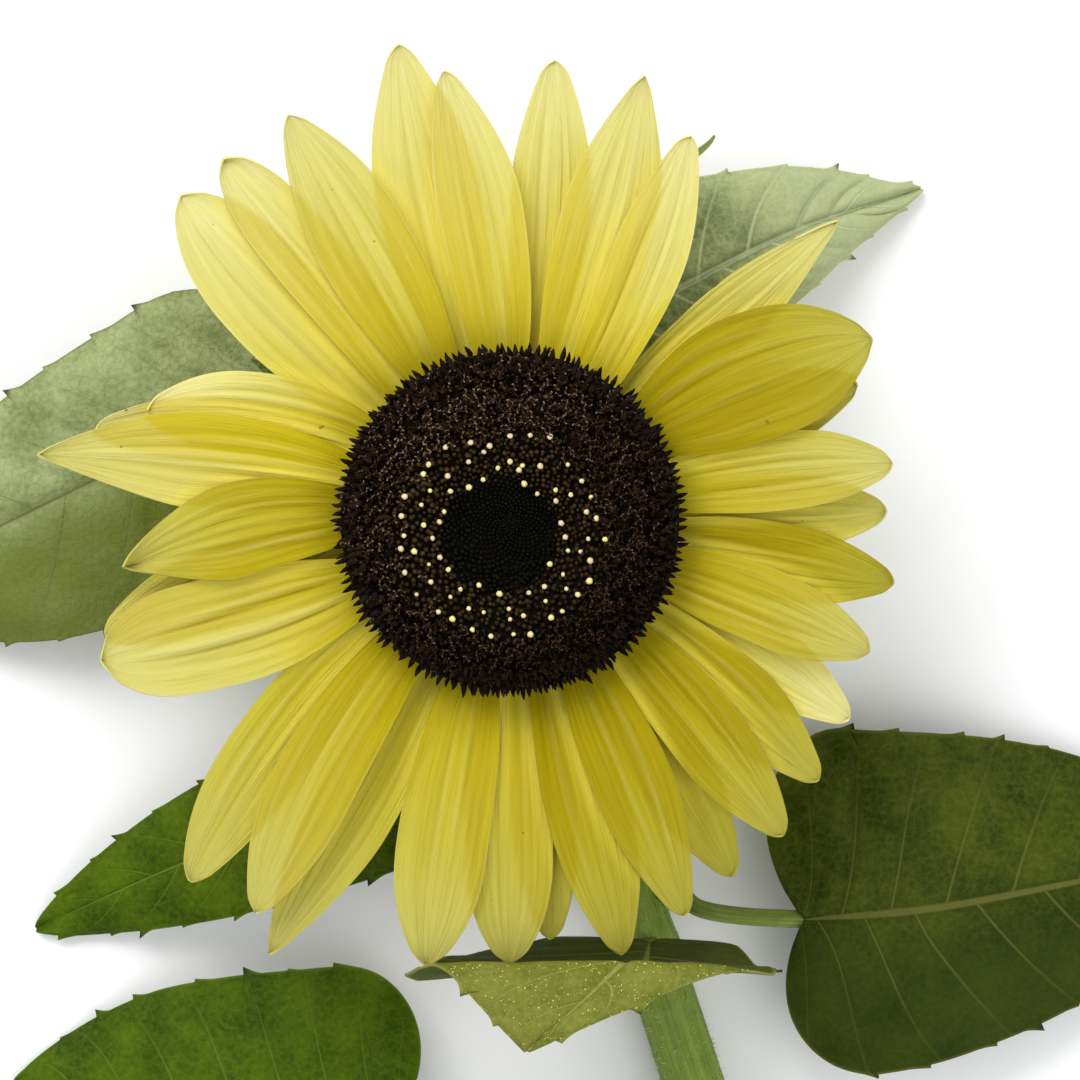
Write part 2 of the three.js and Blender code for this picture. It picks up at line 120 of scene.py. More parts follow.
def compass(degrees: float) -> Array:
    """Gives the unit direction at an angle from +X towards +Y."""
    return np.array([math.cos(math.radians(degrees)), math.sin(math.radians(degrees))])


def unit(vectors: Array) -> Array:
    """Scales vectors to length 1."""
    return vectors / np.maximum(np.linalg.norm(vectors, axis=-1, keepdims=True), 1e-9)


@dataclass(frozen=True)
class RowFrame:
    """The bloom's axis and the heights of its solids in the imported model, in millimetres."""

    axis_x: float
    axis_y: float
    cushion_foot: float
    cushion_top: float
    disc_foot: float

    @classmethod
    def measured(cls) -> "RowFrame":
        """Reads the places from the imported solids.

        Returns:
            The bloom's frame.
        """
        disc_low, disc_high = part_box("disc")
        cushion_low, cushion_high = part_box("receptacle")
        middle = (disc_low + disc_high) / 2
        places = (middle.x, middle.y, cushion_low.z, cushion_high.z, disc_low.z)
        return cls(*[place / MM for place in places])

    @property
    def origin(self) -> Array:
        """Where the axis meets the ground, in the row's millimetres."""
        return np.array([self.axis_x, self.axis_y, 0.0])

    def to_row(self, points: Array) -> Array:
        """Turns points of the bloom's frame into the row's metres."""
        return (points + self.origin) * MM


ROW = RowFrame.measured()


class SmoothPath:
    """A smooth line through points, looked up by share of its spans or of its length."""

    SAMPLES = 600
    KNOT_POWER = 0.5

    def __init__(self, points: Sequence[Sequence[float]]) -> None:
        """Samples the line.

        Args:
            points: The points that it passes through.
        """
        self.shares = np.linspace(0, 1, self.SAMPLES)
        self.places = self._sampled(np.array(points, float))
        self.tangents = unit(np.gradient(self.places, axis=0))
        steps = np.linalg.norm(np.diff(self.places, axis=0), axis=1)
        self.travelled = np.concatenate([[0.0], np.cumsum(steps)])

    def _sampled(self, knots: Array) -> Array:
        """Runs a centripetal spline through the points.

        Args:
            knots: The points, one to a row.

        Returns:
            Points of the line at the sampled shares.
        """
        padded = np.vstack([2 * knots[0] - knots[1], knots, 2 * knots[-1] - knots[-2]])
        spans = len(knots) - 1
        first = np.minimum((self.shares * spans).astype(int), spans - 1)
        weight = (self.shares * spans - first)[:, None]
        before, start, end, after = (padded[first + i] for i in range(4))
        gaps = [np.linalg.norm(b - a, axis=1)[:, None] ** self.KNOT_POWER
                for a, b in ((before, start), (start, end), (end, after))]
        leave = (start - before) / gaps[0] - (end - before) / (gaps[0] + gaps[1]) + (end - start) / gaps[1]
        arrive = (end - start) / gaps[1] - (after - start) / (gaps[1] + gaps[2]) + (after - end) / gaps[2]
        leave, arrive = leave * gaps[1], arrive * gaps[1]
        square = 3 * (end - start) - 2 * leave - arrive
        cube = 2 * (start - end) + leave + arrive
        return start + leave * weight + square * weight ** 2 + cube * weight ** 3

    def at(self, share: Array, by_length: bool = False) -> tuple[Array, Array]:
        """Looks up points and tangents.

        Args:
            share: Shares of the way, 0 to 1.
            by_length: Whether they are shares of the length.

        Returns:
            The points and the unit tangents.
        """
        ruler = self.travelled / self.travelled[-1] if by_length else self.shares
        points = np.stack([np.interp(share, ruler, self.places[:, i]) for i in range(3)], axis=-1)
        tangents = np.stack([np.interp(share, ruler, self.tangents[:, i]) for i in range(3)], axis=-1)
        return points, unit(tangents)

    @property
    def length(self) -> float:
        """The line's length in millimetres."""
        return float(self.travelled[-1])


class Draft:
    """A mesh in the making, in metres of the row, which becomes one finished piece."""

    WELD = 0.01

    def __init__(self) -> None:
        """Starts empty, with the marks that materials read."""
        self.bm = bmesh.new()
        self.layers = {name: self.bm.verts.layers.float.new(name) for name in MARKS}

    def mark(self, verts: Sequence[bmesh.types.BMVert], marks: Marks) -> None:
        """Writes marks on corners.

        Args:
            verts: The corners.
            marks: One value for each corner under each mark's name.
        """
        for name, values in marks.items():
            layer = self.layers[name]
            for vert, value in zip(verts, values, strict=True):
                vert[layer] = value

    def add_blade(self, columns: int, rows: int, place: Place) -> None:
        """Adds a blade: a grid whose corners go where the blade's own shape puts them.

        Args:
            columns: Faces across.
            rows: Faces along.
            place: Takes the side (-1 to 1) and the share along, gives points and marks.
        """
        verts = bmesh.ops.create_grid(self.bm, x_segments=columns, y_segments=rows, size=1.0)["verts"]
        flat = np.array([vert.co[:2] for vert in verts])
        points, marks = place(flat[:, 0], (flat[:, 1] + 1) / 2)
        for vert, point in zip(verts, ROW.to_row(points), strict=True):
            vert.co = point
        self.mark(verts, marks)

    def add_tube(self, points: Array, radii: Array, sides: int, rib: float) -> list[Edge]:
        """Adds a tube along a line by extruding a ring, and closes its far end.

        Args:
            points: Points of the line, in millimetres.
            radii: Radius at each.
            sides: Corners of the ring.
            rib: How far every other corner is drawn in, as a share of the radius.

        Returns:
            The last ring's edges.
        """
        places = turning_frames(ROW.to_row(points), radii * MM)
        share = np.linspace(0, 1, len(points))
        verts = bmesh.ops.create_circle(self.bm, cap_ends=True, segments=sides, radius=1.0)["verts"]
        around = np.array([vert.co for vert in verts])
        self.mark(verts, {"seed": np.full(sides, 0.5), "across": around[:, 0], "fold": around[:, 1]})
        for vert in verts[::2]:
            vert.co *= 1 - rib
        edges = list(dict.fromkeys(edge for vert in verts for edge in vert.link_edges))
        bmesh.ops.transform(self.bm, matrix=places[0], verts=verts)
        for i in range(1, len(places)):
            made = bmesh.ops.extrude_edge_only(self.bm, edges=edges)["geom"]
            verts = [item for item in made if isinstance(item, bmesh.types.BMVert)]
            edges = [item for item in made if isinstance(item, Edge)]
            bmesh.ops.transform(self.bm, matrix=places[i] @ places[i - 1].inverted(), verts=verts)
            self.mark(verts, {"along": np.full(sides, share[i])})
        bmesh.ops.contextual_create(self.bm, geom=edges)
        return edges

    def add_lathe(self, profile: Sequence[tuple[float, float]], steps: int) -> None:
        """Adds a turned shape about the bloom's axis.

        Args:
            profile: Radius and height of each point, from the axis back to it.
            steps: Faces round it.
        """
        centre = np.array([[0.0, 0.0, 0.0]])
        corners = [np.array([[radius, 0.0, height]]) for radius, height in profile]
        verts = [self.bm.verts.new(ROW.to_row(corner)[0]) for corner in corners]
        edges = [self.bm.edges.new(pair) for pair in zip(verts, verts[1:])]
        bmesh.ops.spin(self.bm, geom=verts + edges, cent=ROW.to_row(centre)[0], axis=(0, 0, 1),
                       angle=FULL_TURN, steps=steps, use_merge=True)
        bmesh.ops.remove_doubles(self.bm, verts=self.bm.verts, dist=self.WELD * MM)
        bmesh.ops.recalc_face_normals(self.bm, faces=self.bm.faces)

    def mesh(self, name: str) -> Mesh:
        """Turns the draft into a smooth mesh with crisp margins, and lets the draft go.

        Args:
            name: The mesh's name.

        Returns:
            The mesh.
        """
        for edge in self.bm.edges:
            edge.smooth = not edge.is_boundary
        mesh = bpy.data.meshes.new(name)
        self.bm.to_mesh(mesh)
        self.bm.free()
        mesh.polygons.foreach_set("use_smooth", [True] * len(mesh.polygons))
        return mesh


def turning_frames(points: Array, radii: Array) -> list[Matrix]:
    """Sets a ring square on a line at each of its points, without twist.

    Args:
        points: Points of the line.
        radii: The ring's radius at each.

    Returns:
        A matrix for each point that places a unit ring there.
    """
    tangents = unit(np.gradient(points, axis=0))
    side = unit(np.cross(tangents[0], FIRST_SIDE))
    placed = []
    for point, tangent, radius in zip(points, tangents, radii, strict=True):
        side = unit(side - tangent * np.dot(side, tangent))
        over = np.cross(tangent, side)
        columns = np.stack([side * radius, over * radius, tangent * radius, point], axis=1)
        placed.append(Matrix([*columns.tolist(), [0, 0, 0, 1]]))
    return placed


def added(name: str, data: bpy.types.ID) -> bpy.types.Object:
    """Adds an object to the scene.

    Args:
        name: Its name.
        data: Its mesh, lamp or camera.

    Returns:
        The object.
    """
    made = bpy.data.objects.new(name, data)
    bpy.context.scene.collection.objects.link(made)
    return made


def finished(mesh: Mesh, materials: Sequence[Material],
             nodes: Sequence[str] = (), thickness: float = 0.0) -> None:
    """Makes a mesh a piece of the plant.

    Args:
        mesh: The mesh, already in place.
        materials: Its materials.
        nodes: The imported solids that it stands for.
        thickness: Wall to give a blade, in millimetres.
    """
    for material in materials:
        mesh.materials.append(material)
    piece = added(mesh.name, mesh)
    if thickness:
        wall = piece.modifiers.new("wall", "SOLIDIFY")
        wall.thickness = thickness * MM
        wall.offset = 0.0
    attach(piece, "root")
    if nodes:
        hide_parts(*nodes)
    LOG.info("%s: %d faces, stands for %d solids", mesh.name, len(mesh.polygons), len(nodes))


class Net:
    """One shader tree, with short calls that add and link its nodes."""

    def __init__(self, tree: bpy.types.NodeTree) -> None:
        """Holds the tree."""
        self.tree = tree

    def node(self, kind: str, **settings: object) -> Node:
        """Adds a shader node.

        Args:
            kind: Its type, without the words that every shader node's type begins with.
            **settings: Some of its own settings.

        Returns:
            The node.
        """
        made = self.tree.nodes.new("ShaderNode" + kind)
        for name, value in settings.items():
            setattr(made, name, value)
        return made

    def feed(self, socket: Socket, value: object) -> None:
        """Links a socket, or sets its value.

        Args:
            socket: The input.
            value: Another node's output, or a plain value.
        """
        if isinstance(value, Socket):
            self.tree.links.new(value, socket)
        else:
            socket.default_value = value

    def fill(self, node: Node, values: dict) -> None:
        """Feeds several of a node's inputs, each given by its name or number."""
        for key, value in values.items():
            self.feed(node.inputs[key], value)

    def attribute(self, name: str) -> Socket:
        """Reads one of the piece's marks."""
        return self.node("Attribute", attribute_name=name).outputs["Fac"]

    def math(self, operation: str, *values: object, clamp: bool = False) -> Socket:
        """Adds a math node.

        Args:
            operation: Blender's name for what it does.
            *values: What it takes.
            clamp: Whether the result is kept within 0 and 1.

        Returns:
            The result.
        """
        made = self.node("Math", operation=operation, use_clamp=clamp)
        self.fill(made, dict(enumerate(values)))
        return made.outputs[0]

    def times(self, first: object, second: object, clamp: bool = False) -> Socket:
        """Multiplies two values."""
        return self.math("MULTIPLY", first, second, clamp=clamp)

    def weighed(self, value: object, weight: float, base: object) -> Socket:
        """Adds to a base what a value has above 0.5, by weight."""
        return self.math("MULTIPLY_ADD", self.math("SUBTRACT", value, 0.5), weight, base)

    def spread(self, value: object, low: float, high: float, start: float = 0.0,
               end: float = 1.0) -> Socket:
        """Maps low to high on to start to end, smoothly and clamped.

        Args:
            value: What is mapped.
            low: Lower end of what comes in.
            high: Upper end of it.
            start: What low gives.
            end: What high gives.

        Returns:
            The mapped value.
        """
        made = self.node("MapRange", interpolation_type="SMOOTHSTEP")
        self.fill(made, {"Value": value, "From Min": low, "From Max": high, "To Min": start, "To Max": end})
        return made.outputs["Result"]

    def mix(self, share: object, first: object, second: object, blend: str = "MIX") -> Socket:
        """Mixes two colours.

        Args:
            share: How much of the second.
            first: One colour.
            second: The other.
            blend: Blender's name for the way they mix.

        Returns:
            The mixed colour.
        """
        made = self.node("Mix", data_type="RGBA", blend_type=blend)
        self.fill(made, {0: share, 6: first, 7: second})
        return made.outputs[2]

    def ramp(self, value: object, stops: Stops) -> Socket:
        """Looks a value up in a band of colours.

        Args:
            value: What is looked up.
            stops: Place and colour of each stop.

        Returns:
            The colour.
        """
        made = self.node("ValToRGB")
        band = made.color_ramp.elements
        while len(band) < len(stops):
            band.new(0.5)
        for element, (place, tint) in zip(band, stops):
            element.position = place
            element.color = tint
        self.feed(made.inputs[0], value)
        return made.outputs["Color"]

    def noise(self, vector: object, scale: object, detail: float = 3.0, roughness: float = 0.55) -> Socket:
        """Adds cloudy noise.

        Args:
            vector: Where it is looked up.
            scale: How fine it is.
            detail: Octaves.
            roughness: Weight of the fine ones.

        Returns:
            The noise, about 0.5.
        """
        made = self.node("TexNoise")
        self.fill(made, {"Vector": vector, "Scale": scale, "Detail": detail, "Roughness": roughness})
        return made.outputs[0]

    def place(self) -> Socket:
        """Gives the piece's own coordinates, in metres."""
        return self.node("TexCoord").outputs["Object"]

    def bump(self, height: object, depth: float) -> Socket:
        """Turns a height into a normal.

        Args:
            height: Height, 0 to 1.
            depth: What 1 stands for, in millimetres.

        Returns:
            The normal.
        """
        made = self.node("Bump")
        self.fill(made, {"Strength": 1.0, "Distance": depth * MM, "Height": height})
        return made.outputs["Normal"]

    def grouped(self, name: str, values: dict, wire: Callable[["Net", dict], object]) -> Socket:
        """Places a shader group, which is built when it is first asked for.

        Args:
            name: The group's name.
            values: What each of its inputs takes, by name.
            wire: Takes the group's tree and its inputs, gives the value that it puts out.

        Returns:
            The group's value.
        """
        if name not in bpy.data.node_groups:
            tree = bpy.data.node_groups.new(name, "ShaderNodeTree")
            for label in values:
                tree.interface.new_socket(label, in_out="INPUT", socket_type="NodeSocketFloat")
            tree.interface.new_socket("Value", in_out="OUTPUT", socket_type="NodeSocketFloat")
            entry = tree.nodes.new("NodeGroupInput")
            leaving = tree.nodes.new("NodeGroupOutput")
            inner = Net(tree)
            inner.feed(leaving.inputs[0], wire(inner, {label: entry.outputs[label] for label in values}))
        made = self.node("Group", node_tree=bpy.data.node_groups[name])
        self.fill(made, values)
        return made.outputs[0]


@dataclass(frozen=True)
class Streaks:
    """Fine lines that run along a blade or a tube, as a shader group."""

    fineness: float

    STRETCH = 1.4
    DETAIL = 4.0
    ROUGHNESS = 0.65

    def drawn(self, net: Net, across: object, along: object, seed: object) -> Socket:
        """Places the group, whose lines lie about 0.5, for a place on the blade and the blade's seed."""
        values = {"Across": across, "Along": along, "Seed": seed, "Fineness": self.fineness}
        return net.grouped("Streaks", values, self._wire)

    def _wire(self, net: Net, inputs: dict) -> Socket:
        """Wires up the group.

        Args:
            net: Its tree.
            inputs: Its inputs by name.

        Returns:
            What it puts out.
        """
        factors = {"Across": inputs["Fineness"], "Along": self.STRETCH, "Seed": SEED_STEP}
        parts = [net.times(inputs[label], factor) for label, factor in factors.items()]
        spot = net.node("CombineXYZ")
        net.fill(spot, dict(enumerate(parts)))
        return net.noise(spot.outputs[0], 1.0, self.DETAIL, self.ROUGHNESS)


@dataclass(frozen=True)
class Mottle:
    """Soft blotches over a piece, so many to a metre, as a shader group."""

    grains: float
    contrast: float

    DETAIL = 4.0

    def drawn(self, net: Net) -> Socket:
        """Places the group, whose blotches lie about 0.5."""
        return net.grouped("Mottle", {"Grains": self.grains, "Contrast": self.contrast}, self._wire)

    def _wire(self, net: Net, inputs: dict) -> Socket:
        """Wires up the group.

        Args:
            net: Its tree.
            inputs: Its inputs by name.

        Returns:
            What it puts out.
        """
        spots = net.node("TexNoise")
        net.fill(spots, {"Detail": self.DETAIL, "Vector": net.place(), "Scale": inputs["Grains"]})
        stray = net.times(net.math("SUBTRACT", spots.outputs[0], 0.5), inputs["Contrast"])
        return net.math("ADD", stray, 0.5)


def dressed(name: str, wire: Callable[[Net, Node], None], roughness: float,
            specular: float, glow: float = 0.0) -> Material:
    """Makes a material round a Principled shader.

    Args:
        name: The material's name.
        wire: Wires up what varies over the surface.
        roughness: Its roughness.
        specular: Its specular level.
        glow: Share of light that comes through from behind.

    Returns:
        The material.
    """
    material = bpy.data.materials.new(name)
    material.use_nodes = True
    net = Net(material.node_tree)
    body = material.node_tree.nodes["Principled BSDF"]
    net.fill(body, {"Roughness": roughness, "Specular IOR Level": specular})
    wire(net, body)
    if glow:
        through = net.node("BsdfTranslucent")
        net.feed(through.inputs["Color"], body.inputs["Base Color"].links[0].from_socket)
        blend = net.node("MixShader")
        net.fill(blend, {0: glow, 1: body.outputs[0], 2: through.outputs[0]})
        net.feed(material.node_tree.nodes["Material Output"].inputs["Surface"], blend.outputs[0])
    return material


@dataclass(frozen=True)
class PetalFinish:
    """Pale lemon petals, deeper at the foot, painted lit or shaded petal by petal, with painted shade
    wherever two lie over each other, painted shade in the folds and painted highlights on their ridges.

    The bands map a mark from its first two numbers on to the next two, which are 0 and 1 if left out.
    """

    stops: Numbers = (0.0, 0.3, 0.66, 1.0)
    # Colour stops for a lit petal and for a shaded one: lit and shaded copies of one colour, mixed by painted
    # light.
    lit: tuple[Colour, ...] = (
        colour(184, 166, 6), colour(217, 204, 72), colour(221, 213, 120), colour(233, 226, 152))
    dim: tuple[Colour, ...] = (
        colour(134, 120, 0), colour(166, 150, 6), colour(170, 157, 20), colour(172, 163, 48))
    # Painted shade where a petal lies over another, for the light that comes through two layers; lit and
    # shaded copies.
    lit_deep: Colour = colour(206, 186, 12)
    dim_deep: Colour = colour(150, 134, 0)
    # Pale colour for lit petals' rims and for the painted highlights on the ridges.
    margin: Colour = colour(250, 242, 170)
    # Painted shade for the grooves of the folds.
    crease_shading: Colour = colour(160, 138, 0)
    # A bright yellow for painted fill light near the edges of petals in front, against the shade that they
    # cast.
    painted_fill_light: Colour = colour(255, 240, 90)
    speck: Colour = colour(120, 84, 22)
    golden: Stops = ((0.0, (1.0, 1.0, 0.6, 1.0)), (0.3, (1.0, 1.0, 0.4, 1.0)), (0.85, (1.0, 1.0, 1.0, 1.0)))
    line_shades: Stops = ((0.3, (0.8, 0.78, 0.6, 1.0)), (0.46, (0.96, 0.95, 0.88, 1.0)),
                          (0.56, (1.0, 1.0, 1.0, 1.0)), (0.72, (1.1, 1.1, 1.3, 1.0)))
    fine_lines: Streaks = Streaks(10.0)
    broad_lines: Streaks = Streaks(3.4)
    broad_shift: float = 0.37
    waver: float = 0.5
    golden_band: Numbers = (0.5, 1.0, 1.0, 0.4)
    overlap_shade_share: float = 0.5
    crease_shading_share: float = 0.42
    ridge_highlight_band: Numbers = (0.1, 0.8, -0.1, -0.26)
    margin_band: Numbers = (0.93, 0.985, 0.0, 0.16)
    margin_start: Numbers = (0.2, 0.6)
    line_light_band: Numbers = (0.1, 0.8, 1.0, 0.55)
    line_tip_band: Numbers = (0.85, 1.0, 1.0, 0.2)
    fill_light_share: float = 0.7
    speck_grains: float = 430.0
    speck_band: Numbers = (0.81, 0.83, 0.0, 0.6)
    broad_relief: float = 1.2
    relief: float = 0.34

    def material(self) -> Material:
        """Builds the material."""
        return dressed("petal_skin", self._wire, roughness=0.6, specular=0.05, glow=0.22)

    def _ground(self, net: Net, waver: object, along: object, tone: object) -> Socket:
        """Gives the colour before folds and lines.

        Args:
            net: The material's tree.
            waver: Place along, unevenly drawn.
            along: Place along.
            tone: How much painted light the petal gets, from 0 for a shaded petal to 1 for a lit one.

        Returns:
            The colour.
        """
        dim, lit = (net.ramp(waver, tuple(zip(self.stops, tints))) for tints in (self.dim, self.lit))
        # Painted light and shade: each petal is mixed between its lit and its shaded colours.
        tint = net.mix(tone, dim, lit)
        # Shaded petals are painted more golden towards the foot.
        golden = net.ramp(tone, self.golden)
        tint = net.mix(net.spread(along, *self.golden_band), tint, golden, "MULTIPLY")
        # Painted shade: deeper where other petals lie behind.
        deep = net.mix(tone, self.dim_deep, self.lit_deep)
        return net.mix(net.times(net.attribute("overlap"), self.overlap_shade_share, clamp=True), tint, deep)

    def _wire(self, net: Net, body: Node) -> None:
        """Wires up colour and relief.

        Args:
            net: The material's tree.
            body: Its shader.
        """
        along, across, seed, tone, fold = (
            net.attribute(mark) for mark in ("along", "across", "seed", "tone", "fold"))
        fine = self.fine_lines.drawn(net, across, along, seed)
        broad = self.broad_lines.drawn(net, across, along, net.math("ADD", seed, self.broad_shift))
        tint = self._ground(net, net.weighed(broad, self.waver, along), along, tone)
        # Painted shade in the folds' grooves, and painted highlights on the ridges beside them, brighter on
        # lit petals.
        tint = net.mix(net.times(fold, self.crease_shading_share, clamp=True), tint, self.crease_shading)
        ridge = net.times(fold, net.spread(tone, *self.ridge_highlight_band), clamp=True)
        tint = net.mix(ridge, tint, self.margin)
        # A thin rim, painted light and shade: pale on lit petals, brown on shaded ones.
        rim = net.spread(net.math("ABSOLUTE", across), *self.margin_band)
        outline = net.mix(tone, self.speck, self.margin)
        tint = net.mix(net.times(rim, net.spread(along, *self.margin_start)), tint, outline)
        # Painted light sets the fine lines' strength: stronger on shaded petals, fainter on lit ones and at
        # the tips.
        strength = net.times(net.spread(tone, *self.line_light_band), net.spread(along, *self.line_tip_band))
        tint = net.mix(strength, tint, net.ramp(fine, self.line_shades), "MULTIPLY")
        # Painted fill light: lifted towards bright yellow near the edges of petals in front, most at the
        # foot.
        tint = net.mix(net.times(net.attribute("under"), self.fill_light_share), tint, self.painted_fill_light)
        spots = net.noise(net.place(), self.speck_grains, 1.0)
        tint = net.mix(net.spread(spots, *self.speck_band), tint, self.speck)
        height = net.math("ADD", fine, net.times(broad, self.broad_relief))
        net.fill(body, {"Base Color": tint, "Normal": net.bump(height, self.relief)})


@dataclass(frozen=True)
class TintedFinish:
    """A matt plant surface between two colours, with a third towards its tips."""

    name: str
    dark: Colour
    light: Colour
    tip: Colour
    tip_share: float = 0.0
    tip_power: float = 1.0
    grains: float = 600.0
    roughness: float = 0.6
    specular: float = 0.3
    relief: float = 0.1
    ribs: float = 0.0

    CONTRAST = 1.6
    SEED_WEIGHT = 0.9
    RIB_STRETCH = 4.0
    RIB_WEIGHT = 1.9
    RIB_GRAIN = 0.35
    RIB_BASE = 0.33

    def material(self) -> Material:
        """Builds the material."""
        return dressed(self.name, self._wire, self.roughness, self.specular)

    def _wire(self, net: Net, body: Node) -> None:
        """Wires up colour and relief.

        Args:
            net: The material's tree.
            body: Its shader.
        """
        spots = Mottle(self.grains, self.CONTRAST).drawn(net)
        if self.ribs:
            turn = net.times(net.attribute("fold"), self.ribs / SEED_STEP)
            along = net.times(net.attribute("along"), self.RIB_STRETCH)
            lines = Streaks(self.ribs).drawn(net, net.attribute("across"), along, turn)
            base = net.math("MULTIPLY_ADD", spots, self.RIB_GRAIN, self.RIB_BASE)
            spots = net.weighed(lines, self.RIB_WEIGHT, base)
        share = net.weighed(net.attribute("seed"), self.SEED_WEIGHT, spots)
        tint = net.mix(net.times(share, 1.0, clamp=True), self.dark, self.light)
        # The share of the tip colour follows the painted light mark, which paints light and shade across the
        # disc's florets.
        rise = net.math("POWER", net.attribute("along"), self.tip_power)
        towards = net.times(net.times(rise, net.attribute("tone")), self.tip_share, clamp=True)
        tint = net.mix(towards, tint, self.tip)
        net.fill(body, {"Base Color": tint, "Normal": net.bump(spots, self.relief)})


@dataclass(frozen=True)
class LeafFinish:
    """A rough leaf with paler veins, a fine net between them and a thin margin.

    The bands are as in PetalFinish.
    """

    name: str
    dark: Colour
    light: Colour
    vein: Colour
    # far: the colour that the painted light mark mixes in; painted shade on most leaves, a paler colour
    # towards the quilted leaf's tip.
    far: Colour
    tooth: Colour = colour(44, 46, 30)
    glow: float = 0.1
    veins: float = 7.4
    boldness: float = 1.0

    BLOTCHES = Mottle(110.0, 2.2)
    GRAIN = Mottle(900.0, 2.2)
    GRAIN_WEIGHT = 0.6
    CELLS = 560.0
    CELL_BAND = (0.0, 0.12, 1.0, 0.0)
    CELL_SHARE = 0.13
    PAINTED_LIGHT_SHARE = 0.8
    DARK_SHARE = 0.4
    PALE_SHARE = 0.6
    MARGIN_BAND = (0.975, 1.0, 0.0, 0.45)
    TOOTH_BAND = (0.3, 0.7, 0.0, 0.8)
    SIDE_SHIFT = 0.27
    OUTWARD_BAND = (0.1, 0.95, 1.0, 0.25)
    CELL_DEPTH = 0.35
    VEIN_DEPTH = 0.8
    RELIEF = 0.12

    def material(self) -> Material:
        """Builds the material."""
        return dressed(self.name, self._wire, roughness=0.65, specular=0.08, glow=self.glow)

    def _lines(self, net: Net) -> tuple[Socket, Socket]:
        """Draws the midrib and the side veins.

        Args:
            net: The material's tree.

        Returns:
            Strength of the pale lines, and of the dark ones beside them.
        """
        along, across = net.attribute("along"), net.attribute("across")
        out = net.math("ABSOLUTE", across)
        slant = net.math("MULTIPLY_ADD", along, -VEIN_SLANT * VEIN_EASE, VEIN_SLANT)
        bow = net.times(net.math("POWER", out, VEIN_BOW), slant)
        swing = net.times(net.math("SIGN", across), self.SIDE_SHIFT)
        course = net.math("MULTIPLY_ADD", net.math("SUBTRACT", along, bow), self.veins, swing)
        away = net.math("ABSOLUTE", net.math("SUBTRACT", net.math("FRACT", course), 0.5))
        fading = net.spread(out, *self.OUTWARD_BAND)
        bold = self.boldness
        pale = net.times(net.spread(away, 0.0, 0.035 * bold, 0.8, 0.0), fading)
        dark = net.times(net.spread(away, 0.02 * bold, 0.11, 0.6, 0.0), fading)
        midrib = net.spread(out, 0.012 * bold, 0.03 * bold, 1.0, 0.0)
        beside = net.spread(out, 0.025 * bold, 0.07 * bold, 0.8, 0.0)
        return net.math("MAXIMUM", pale, midrib), net.math("MAXIMUM", dark, beside)

    def _wire(self, net: Net, body: Node) -> None:
        """Wires up colour and relief.

        Args:
            net: The material's tree.
            body: Its shader.
        """
        grain = self.GRAIN.drawn(net)
        cells = net.node("TexVoronoi", feature="DISTANCE_TO_EDGE")
        net.fill(cells, {"Vector": net.place(), "Scale": self.CELLS})
        lattice = net.spread(cells.outputs["Distance"], *self.CELL_BAND)
        pale, dark = self._lines(net)
        share = net.weighed(grain, self.GRAIN_WEIGHT, self.BLOTCHES.drawn(net))
        tint = net.mix(net.times(share, 1.0, clamp=True), self.dark, self.light)
        for layer, strength, paint in (
                (lattice, self.CELL_SHARE, self.vein), (net.attribute("tone"), self.PAINTED_LIGHT_SHARE, self.far),
                (dark, self.DARK_SHARE, self.dark), (pale, self.PALE_SHARE, self.vein)):
            tint = net.mix(net.times(layer, strength), tint, paint)
        edge = net.spread(net.math("ABSOLUTE", net.attribute("across")), *self.MARGIN_BAND)
        tint = net.mix(edge, tint, self.vein)
        tint = net.mix(net.spread(net.attribute("fold"), *self.TOOTH_BAND), tint, self.tooth)
        height = net.math("MULTIPLY_ADD", lattice, -self.CELL_DEPTH, grain)
        height = net.math("MULTIPLY_ADD", dark, -self.VEIN_DEPTH, height)
        net.fill(body, {"Base Color": tint, "Normal": net.bump(height, self.RELIEF)})


